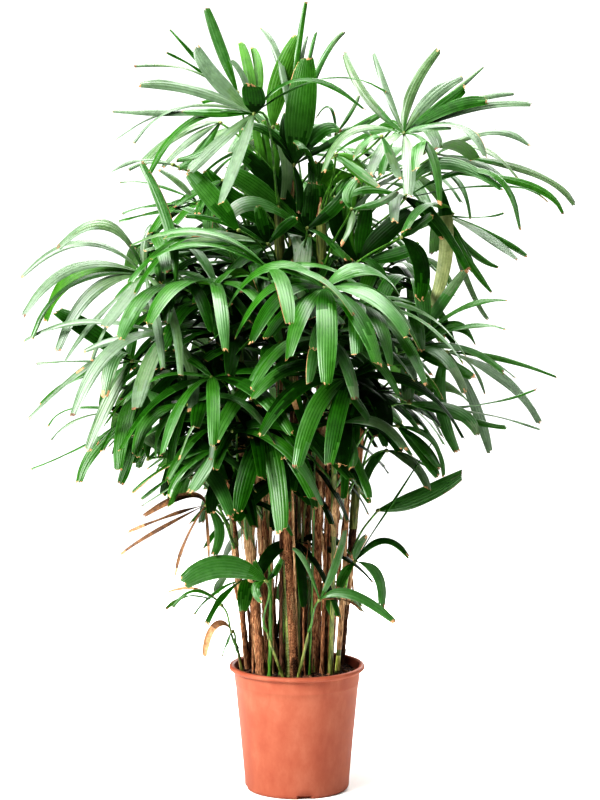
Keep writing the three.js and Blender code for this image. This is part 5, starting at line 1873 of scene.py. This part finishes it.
@dataclass
class Stalks:
    """The stalks of the fronds, with the sheath that each clasps its cane with."""

    rows: int = 18
    sides: int = 8
    slim: float = 0.82                 # of the solid's corner radius
    sheath: tuple[float, float] = (70, 120)
    seed: int = 400

    def build(self, fronds: Sequence[Frond], nodes: Sequence[str]) -> None:
        """Builds all stalks as one piece.

        Args:
            fronds: the fronds that stand.
            nodes: the solids that the stalks are part of.
        """
        random = np.random.default_rng(self.seed)
        skin = Skin("stalks", [STALK_GREEN, SHEATH_GREEN, FIBRE_TAN, FIBRE_BROWN])
        for frond in fronds:
            shares = np.linspace(0, 1, self.rows)
            line, ways = STALK.curve(frond, shares)
            radii = np.interp(shares, (0, 0.33, 0.93, 1), (STALK.foot, STALK.radius,
                                                         STALK.radius, STALK.radius * 1.5))
            skin.tube(round_rings(line, ways, radii * self.slim, self.sides), 0, flat_ends=False)
            self.add_knot(skin, frond)
            if CANES[frond.cane].crown:
                self.add_sheath(skin, frond, random)
        skin.finish("leaf", nodes)

    @staticmethod
    def add_knot(skin: Skin, frond: Frond) -> None:
        """Adds the small knot that the leaflets spread from."""
        along = unit(frond.forward)
        offsets = np.array((-5.0, -3.5, 0.0, 3.0, 4.5))
        line = np.array(frond.hub) + np.outer(offsets, along)
        skin.tube(round_rings(line, np.tile(along, (5, 1)), np.array((1.2, 3.2, 4.0, 2.8, 0.8)), 8),
                  1, flat_ends=False)

    def add_sheath(self, skin: Skin, frond: Frond, random: np.random.Generator) -> None:
        """Adds the sheath that clasps the cane under a stalk and narrows up into it.

        Args:
            skin: the skin that takes it.
            frond: the frond.
            random: draws for its length and age.
        """
        cane = CANES[frond.cane]
        _, out, _ = STALK.foot_of(frond)
        long = random.uniform(*self.sheath)
        z = np.linspace(max(FOOT_Z + 4, frond.attach - long), frond.attach + 6, 12)
        share = np.linspace(0, 1, 12)
        half = np.radians(lerp(165, 24, share ** 1.6))
        towards = math.atan2(out[1], out[0])
        angles = towards + half[:, None] * np.linspace(-1, 1, 11)
        radius = (cane.radius(z) + 1.1 + 1.8 * share ** 3)[:, None]
        grid = cane.bowed(z)[:, None] + np.stack(
            [radius * np.cos(angles), radius * np.sin(angles), np.zeros_like(angles)], -1)
        normals = np.stack([np.cos(angles), np.sin(angles), np.zeros_like(angles)], -1)
        old = random.random() < np.interp(frond.attach, (450, 900), (0.8, 0.25))
        kind = int(random.choice((2, 3))) if old else 1
        skin.sheet(grid[:, ::-1], normals[:, ::-1], 0.7, kind, kind)


def smooth_line(points: np.ndarray, shares: np.ndarray) -> np.ndarray:
    """Places on a smooth curve through evenly spaced points.

    Args:
        points: what the curve passes through, one row each.
        shares: how far along, from 0 to 1.

    Returns:
        A row for each share.
    """
    steps = len(points) - 1
    first = np.minimum((shares * steps).astype(int), steps - 1)
    t = (shares * steps - first)[:, None]
    a, b, c, d = (points[np.clip(first + k, 0, steps)] for k in (-1, 0, 1, 2))
    return 0.5 * (2 * b + (c - a) * t + (2 * a - 5 * b + 4 * c - d) * t ** 2
                  + (3 * b - a - 3 * c + d) * t ** 3)


@dataclass(frozen=True)
class Fineness:
    """How finely a leaflet is drawn."""

    rows: int
    strip: float                       # width of the strip between two ribs, mm
    grooved: bool


FINE = Fineness(15, 5.6, True)
MIDDLING = Fineness(8, 9.0, True)
COARSE = Fineness(9, 10.0, False)


@dataclass
class Foliage:
    """The leaflets, as ribbed blades with ragged tips, in pieces by part of the crown."""

    groove_depth: float = 0.36
    groove_half: float = 0.7           # drawn wider than the rib, so that it shows
    margin: float = 1.3                # width of the paler edge
    thickness: float = 0.5
    ripple: float = 1.5                # sway of the edges, mm
    tip_rows: tuple[float, float] = (6.5, 2.2)
    tip_follow: tuple[float, float, float] = (0.4, 0.75, 1.0)
    ragged: float = 3.2                # how unevenly the strips end, mm
    slit: float = 3.4                  # how far a tip is slit at a rib, mm
    back: float = 60.0                 # inner leaves behind this are drawn coarsely
    # Tones by where a frond is: darker inside the crown as painted shade, paler at its edge as painted
    # sheen.
    outs: tuple[float, float] = (0.1, 0.75)      # from the inside of the crown to its edge
    ages: tuple[float, float] = (0.2, 2.8)       # the tones of leaves there, as slots
    age_heights: tuple[float, ...] = (500, 900, 1400)
    age_shifts: tuple[float, ...] = (-0.5, 0, 0.4)
    frond_spread: float = 0.55         # at random, of the tones of fronds
    leaf_spread: float = 0.5           # and of the leaflets of one frond
    blunts: tuple[float, float] = (0.4, 0.62)    # width at the tip, as a share of the widest
    neck: float = 0.14                 # and at the hub
    shrinks: tuple[float, float] = (0.45, 0.7)   # how narrow a dead blade has dried
    dry_rows: tuple[float, ...] = (0.14, 0.56, 0.3)   # shares of strips with 0, 1 and 2 dry rows
    dry_edges: float = 0.05            # share of leaflets with a dry edge
    dry_spots: float = 0.03            # and with a dry spot
    tan_share: float = 0.7             # of the dry places that are tan, not brown
    seed: int = 900

    groups = {
        "leaves_front": ("main", "sheathed", "green", "shoot_left", "shoot_right"),
        "leaves_left": ("left", "fibrous", "brown", "shoot_low"),
        "leaves_right": ("right", "dark", "ringed"),
        "leaves_back": ("back", "back_left"),
        "leaves_heart": ("heart",),
    }

    def build(self, fronds: Sequence[Frond], nodes: Sequence[str]) -> None:
        """Builds the leaves.

        Args:
            fronds: the fronds that stand.
            nodes: the solids that the leaves are part of.
        """
        for name, canes in self.groups.items():
            skin = Skin(name, [tone.value for tone in TONES])
            own = [frond for frond in fronds if frond.cane in canes]
            for frond in own:
                self.dress(skin, frond)
            crowns = [f"crown_{cane}" for cane in canes if f"crown_{cane}" in nodes]
            singles = [node for node in nodes if node.startswith("frond_")]
            skin.finish("leaf", crowns + (singles if name == "leaves_front" else []))

    def dress(self, skin: Skin, frond: Frond) -> None:
        """Adds a frond's leaflets.

        Args:
            skin: the skin that takes them.
            frond: the frond.
        """
        random = np.random.default_rng(self.seed + frond.seed)
        inner = MIDDLING if frond.hub[1] < self.back else COARSE
        fineness = inner if len(frond.stations) == 2 else FINE
        middle, reach = PlantRule.crown_at(frond.hub[2])
        out = math.hypot(frond.hub[0] - middle, frond.hub[1]) / reach
        # Painted shade inside the crown and painted sheen at its edge, with a random spread and a shift
        # from darker low fronds to paler high ones.
        shade_sheen_and_age = np.interp(out, self.outs, self.ages) + random.normal(0, self.frond_spread)
        shade_sheen_and_age += np.interp(frond.hub[2], self.age_heights, self.age_shifts)
        for leaf in frond.leaflets:
            tone = int(np.clip(round(shade_sheen_and_age + random.normal(0, self.leaf_spread)), 0,
                               TONES.index(PALE)))
            if leaf.tone:
                tone = TONES.index(leaf.tone)
            dead = random.random() < frond.withered or leaf.tone is BROWN
            self.add_leaflet(skin, leaf, fineness, tone, dead, random)

    def section(self, half: np.ndarray, strips: int, fineness: Fineness) -> tuple[
            np.ndarray, np.ndarray, np.ndarray]:
        """Where the points across a blade lie.

        Args:
            half: the blade's half width at each row.
            strips: how many strips it has between its ribs.
            fineness: how finely it is drawn.

        Returns:
            Each point's place from -1 to 1 at each row, whether it is the bottom of a
            groove, and the strip that it belongs to.
        """
        ribs = np.linspace(-1, 1, strips + 1)
        if not fineness.grooved:
            return (np.tile(ribs, (len(half), 1)), np.zeros(strips + 1, bool),
                    np.minimum(np.arange(strips + 1), strips - 1))
        wide = np.minimum(self.groove_half / half, 0.5 / strips)[:, None]
        margin = np.minimum(self.margin / half, 0.5 / strips)[:, None]
        places, bottoms, owners = [-1 + 0 * wide, -1 + margin], [False, False], [0, 0]
        for k, rib in enumerate(ribs[1:-1]):
            places += [rib - wide, rib + 0 * wide, rib + wide]
            bottoms += [False, True, False]
            owners += [k, k, k + 1]
        places += [1 - margin, 1 + 0 * wide]
        return (np.concatenate(places, axis=1), np.array([*bottoms, False, False]),
                np.array([*owners, strips - 1, strips - 1]))

    def add_leaflet(self, skin: Skin, leaf: Leaflet, fineness: Fineness, tone: int, dead: bool,
                    random: np.random.Generator) -> None:
        """Adds one blade.

        Args:
            skin: the skin that takes it.
            leaf: the leaflet.
            fineness: how finely it is drawn.
            tone: slot of its upper side.
            dead: whether it has dried up.
            random: its frond's draws.
        """
        strips = max(2, round(leaf.blade_width / fineness.strip))
        share = np.concatenate([np.linspace(0, 1, fineness.rows + 1)[:-1],
                                1 - np.array(self.tip_rows) / leaf.length, [1.0]])
        share = np.unique(np.delete(share, fineness.rows - 1) if fineness.rows > 11 else share)
        places, _ = leaf.midline()
        line = smooth_line(places, share)
        ways = unit(np.gradient(line, share, axis=0))
        side, top = leaf.frame_at(ways, share)
        blunt = random.uniform(*self.blunts)
        half = leaf.blade_width / 2 * width_share(share, blunt, self.neck)
        if dead:
            half = half * random.uniform(*self.shrinks)
        across, bottoms, owners = self.section(half, strips, fineness)
        edge = half[:, None] * across
        arch = np.maximum(2.4, 0.2 * half)[:, None] * (1 - across ** 2)
        arch = arch * np.clip(share * 6, 0, 1)[:, None]
        phase = random.uniform(0, 2 * math.pi, 3)
        sway = np.sin(share * random.uniform(7, 13) + phase[0])[:, None] * across ** 3
        height = arch + self.ripple * sway
        height = height - self.groove_depth * bottoms * np.clip(half / 8, 0, 1)[:, None]
        if dead:
            height = height + across ** 2 * half[:, None] * 0.9
        bend = random.normal(0, 5) * share ** 2
        grid = (line[:, None] + side[:, None] * (edge + bend[:, None])[..., None]
                + top[:, None] * height[..., None])
        ends = random.uniform(-1, 0.6, strips)[owners] * self.ragged
        ends = ends - bottoms * self.slit * random.uniform(0.3, 1.3, len(ends))
        slant = random.uniform(-0.6, 0.6) * half[-1]
        ends = ends + slant * across[-1] - 0.35 * half[-1] * across[-1] ** 2
        follow = np.array(self.tip_follow)[:, None, None]
        grid[-3:] += follow * ends[None, :, None] * ways[-1]
        slots, low = self.deal_slots(grid.shape[:2], bottoms, owners, tone, dead, random)
        skin.sheet(grid, np.broadcast_to(top[:, None], grid.shape), self.thickness, slots, low)

    def deal_slots(self, shape: tuple[int, int], bottoms: np.ndarray, owners: np.ndarray,
                   tone: int, dead: bool, random: np.random.Generator) -> tuple[
                       np.ndarray, np.ndarray]:
        """Deals a blade's faces their finishes.

        Args:
            shape: rows and columns of the blade's points.
            bottoms: which columns are the bottoms of grooves.
            owners: the strip of each column.
            tone: the tone of the blade.
            dead: whether it has dried up.
            random: its frond's draws.

        Returns:
            The slots of the upper faces and of the underside's.
        """
        rows, columns = shape[0] - 1, shape[1] - 1
        tan, brown, mint = TONES.index(TAN), TONES.index(BROWN), TONES.index(MINT)
        # Undersides are UNDER, but MID on the darkest blades, as painted shade inside the crown.
        low = np.full((rows, columns), TONES.index(UNDER if tone > 1 else MID))
        if dead:
            slots = np.full((rows, columns), brown)
            slots[random.integers(rows // 2, rows + 1):] = tan
            return slots, slots.copy()
        strip_of = owners[:-1]
        # Painted light along each strip: rows toward the tip are one tone paler as a painted sheen,
        # rows by the hub one tone darker as painted shade.
        sheen_from = rows * random.uniform(0.5, 1.3) + random.normal(0, 1.2, owners.max() + 1)
        shade_to = rows * random.uniform(0.0, 0.3) + random.normal(0, 1.0, owners.max() + 1)
        row = np.arange(rows)[:, None]
        slots = tone + (row > sheen_from[strip_of]) - (row < shade_to[strip_of])
        # The face on one side of each groove's bottom is one tone darker: painted shade in the groove.
        is_groove = bottoms[:-1]
        slots = np.clip(np.where(is_groove, slots - 1, slots), 0, mint)
        if bottoms.any():
            slots[:, [0, -1]] = np.minimum(slots[:, [0, -1]] + 1, mint)
        # A blade that shows its underside gets the darker MID in its grooves as painted shade.
        if tone == TONES.index(UNDER):
            slots = np.where(is_groove, TONES.index(MID), low)
        elif tone > mint:
            slots = np.where(row > rows * 0.3, tone, TONES.index(DEEP)) + 0 * low
        tips = random.choice(len(self.dry_rows), owners.max() + 1, p=self.dry_rows)
        is_dry = row >= rows - tips[strip_of]
        if random.random() < self.dry_edges:
            edge = 0 if random.random() < 0.5 else columns - 1
            is_dry = is_dry | ((np.arange(columns) == edge)
                               & (row > rows * random.uniform(0.4, 0.8)))
        if bottoms.any() and random.random() < self.dry_spots:
            spot = random.integers(3, rows - 3)
            is_dry = is_dry | ((strip_of == random.integers(owners.max() + 1)) & (row == spot))
        dry = tan if random.random() < self.tan_share else brown
        return np.where(is_dry, dry, slots), np.where(is_dry, dry, low)


# ---------------------------------------------------------------- studio

@dataclass
class Studio:
    """A pale floor, soft lights and the camera."""

    backdrop: str = "#f4f4f2"
    floor_reach: float = 2.7           # m from the middle to each side
    aim: tuple[float, float, float] = (0.0, 0.0, 0.8)   # what the lights face, m
    ambient: float = 0.04              # what the white room adds to matt surfaces
    shine: float = 0.12                # and what it shows in glossy ones

    def build(self) -> None:
        """Sets the floor, the lights, the sky and the camera."""
        self.lay_floor()
        self.add_light("key", (-4.6, -4.0, 4.4), 3.2, 1180)
        self.add_light("fill", (3.2, -0.6, 2.9), 1.8, 35)
        self.add_light("top", (0.1, 0.3, 5.4), 3.6, 560)
        self.add_light("back", (1.6, 4.8, 3.0), 3.6, 240)
        world = bpy.data.worlds.new("studio_sky")
        bpy.context.scene.world = world
        world.use_nodes = True
        tree = world.node_tree
        tree.nodes.clear()
        path = add_node(tree, "ShaderNodeLightPath")
        seen = add_node(tree, "ShaderNodeBackground", {"Color": (1, 1, 1, 1), "Strength": 1.0})
        gloss = add_node(tree, "ShaderNodeMapRange", {"To Min": self.ambient, "To Max": self.shine},
                         {"Value": path.outputs["Is Glossy Ray"]})
        cast = add_node(tree, "ShaderNodeBackground", {"Color": (1, 1, 0.97, 1)},
                        {"Strength": gloss.outputs["Result"]})
        sky = add_node(tree, "ShaderNodeMixShader", {}, {"Fac": path.outputs["Is Camera Ray"]})
        tree.links.new(cast.outputs["Background"], sky.inputs[1])
        tree.links.new(seen.outputs["Background"], sky.inputs[2])
        add_node(tree, "ShaderNodeOutputWorld", {}, {"Surface": sky.outputs["Shader"]})
        self.place_camera()
        bpy.context.scene.view_settings.view_transform = "Standard"
        bpy.context.scene.view_settings.look = "High Contrast"

    def lay_floor(self) -> None:
        """Lays a pale level sheet, lit up to its edges, with nothing behind the plant."""
        mesh = bpy.data.meshes.new("floor")
        reach = self.floor_reach
        points = [(x * reach, y * reach, 0.0) for x, y in ((-1, -1), (1, -1), (1, 1), (-1, 1))]
        mesh.from_pydata(points, [], [(0, 1, 2, 3)])
        # Matt studio paper: even and pale, with no gloss.
        paper = Finish("studio_paper", (self.backdrop, self.backdrop), (50, 50, 50), (0.9, 0.9),
                       specular=0.1)
        mesh.materials.append(material_of(paper))
        floor = bpy.data.objects.new("floor", mesh)
        bpy.context.scene.collection.objects.link(floor)

    def add_light(self, name: str, place: tuple[float, float, float], size: float,
                  power: float) -> None:
        """Hangs a square soft light, its place and size in metres and its power in watts."""
        lamp = bpy.data.lights.new(name, "AREA")
        lamp.size, lamp.energy = size, power
        light = bpy.data.objects.new(name, lamp)
        light.location = place
        towards = Vector(self.aim) - Vector(place)
        light.rotation_euler = towards.to_track_quat("-Z", "Y").to_euler()
        bpy.context.scene.collection.objects.link(light)

    @staticmethod
    def place_camera() -> None:
        """Places the camera."""
        lens = bpy.data.cameras.new("camera")
        lens.lens, lens.sensor_width = SIGHT.lens, SIGHT.sensor
        camera = bpy.data.objects.new("camera", lens)
        camera.location = [MM * along for along in SIGHT.place]
        camera.rotation_euler = (math.radians(90 - SIGHT.down), 0, 0)
        bpy.context.scene.collection.objects.link(camera)
        bpy.context.scene.camera = camera


# ---------------------------------------------------------------- the whole plant

def main() -> None:
    """Builds the pot, the mulch, the canes, the stalks, the leaves and the studio."""
    logging.basicConfig(level=logging.INFO, format="%(message)s")
    fronds = PlantRule(frame["nodes"]).grow()
    leafy = [name for name in frame["nodes"] if name.startswith(("crown_", "frond_"))]
    pot = Pot()
    pot.build()
    Soil(pot).build()
    CaneStand().build()
    OldStems().build()
    Litter().build()
    Stalks().build(fronds, leafy)
    Foliage().build(fronds, leafy)
    Studio().build()


if __name__ == "__main__":
    main()
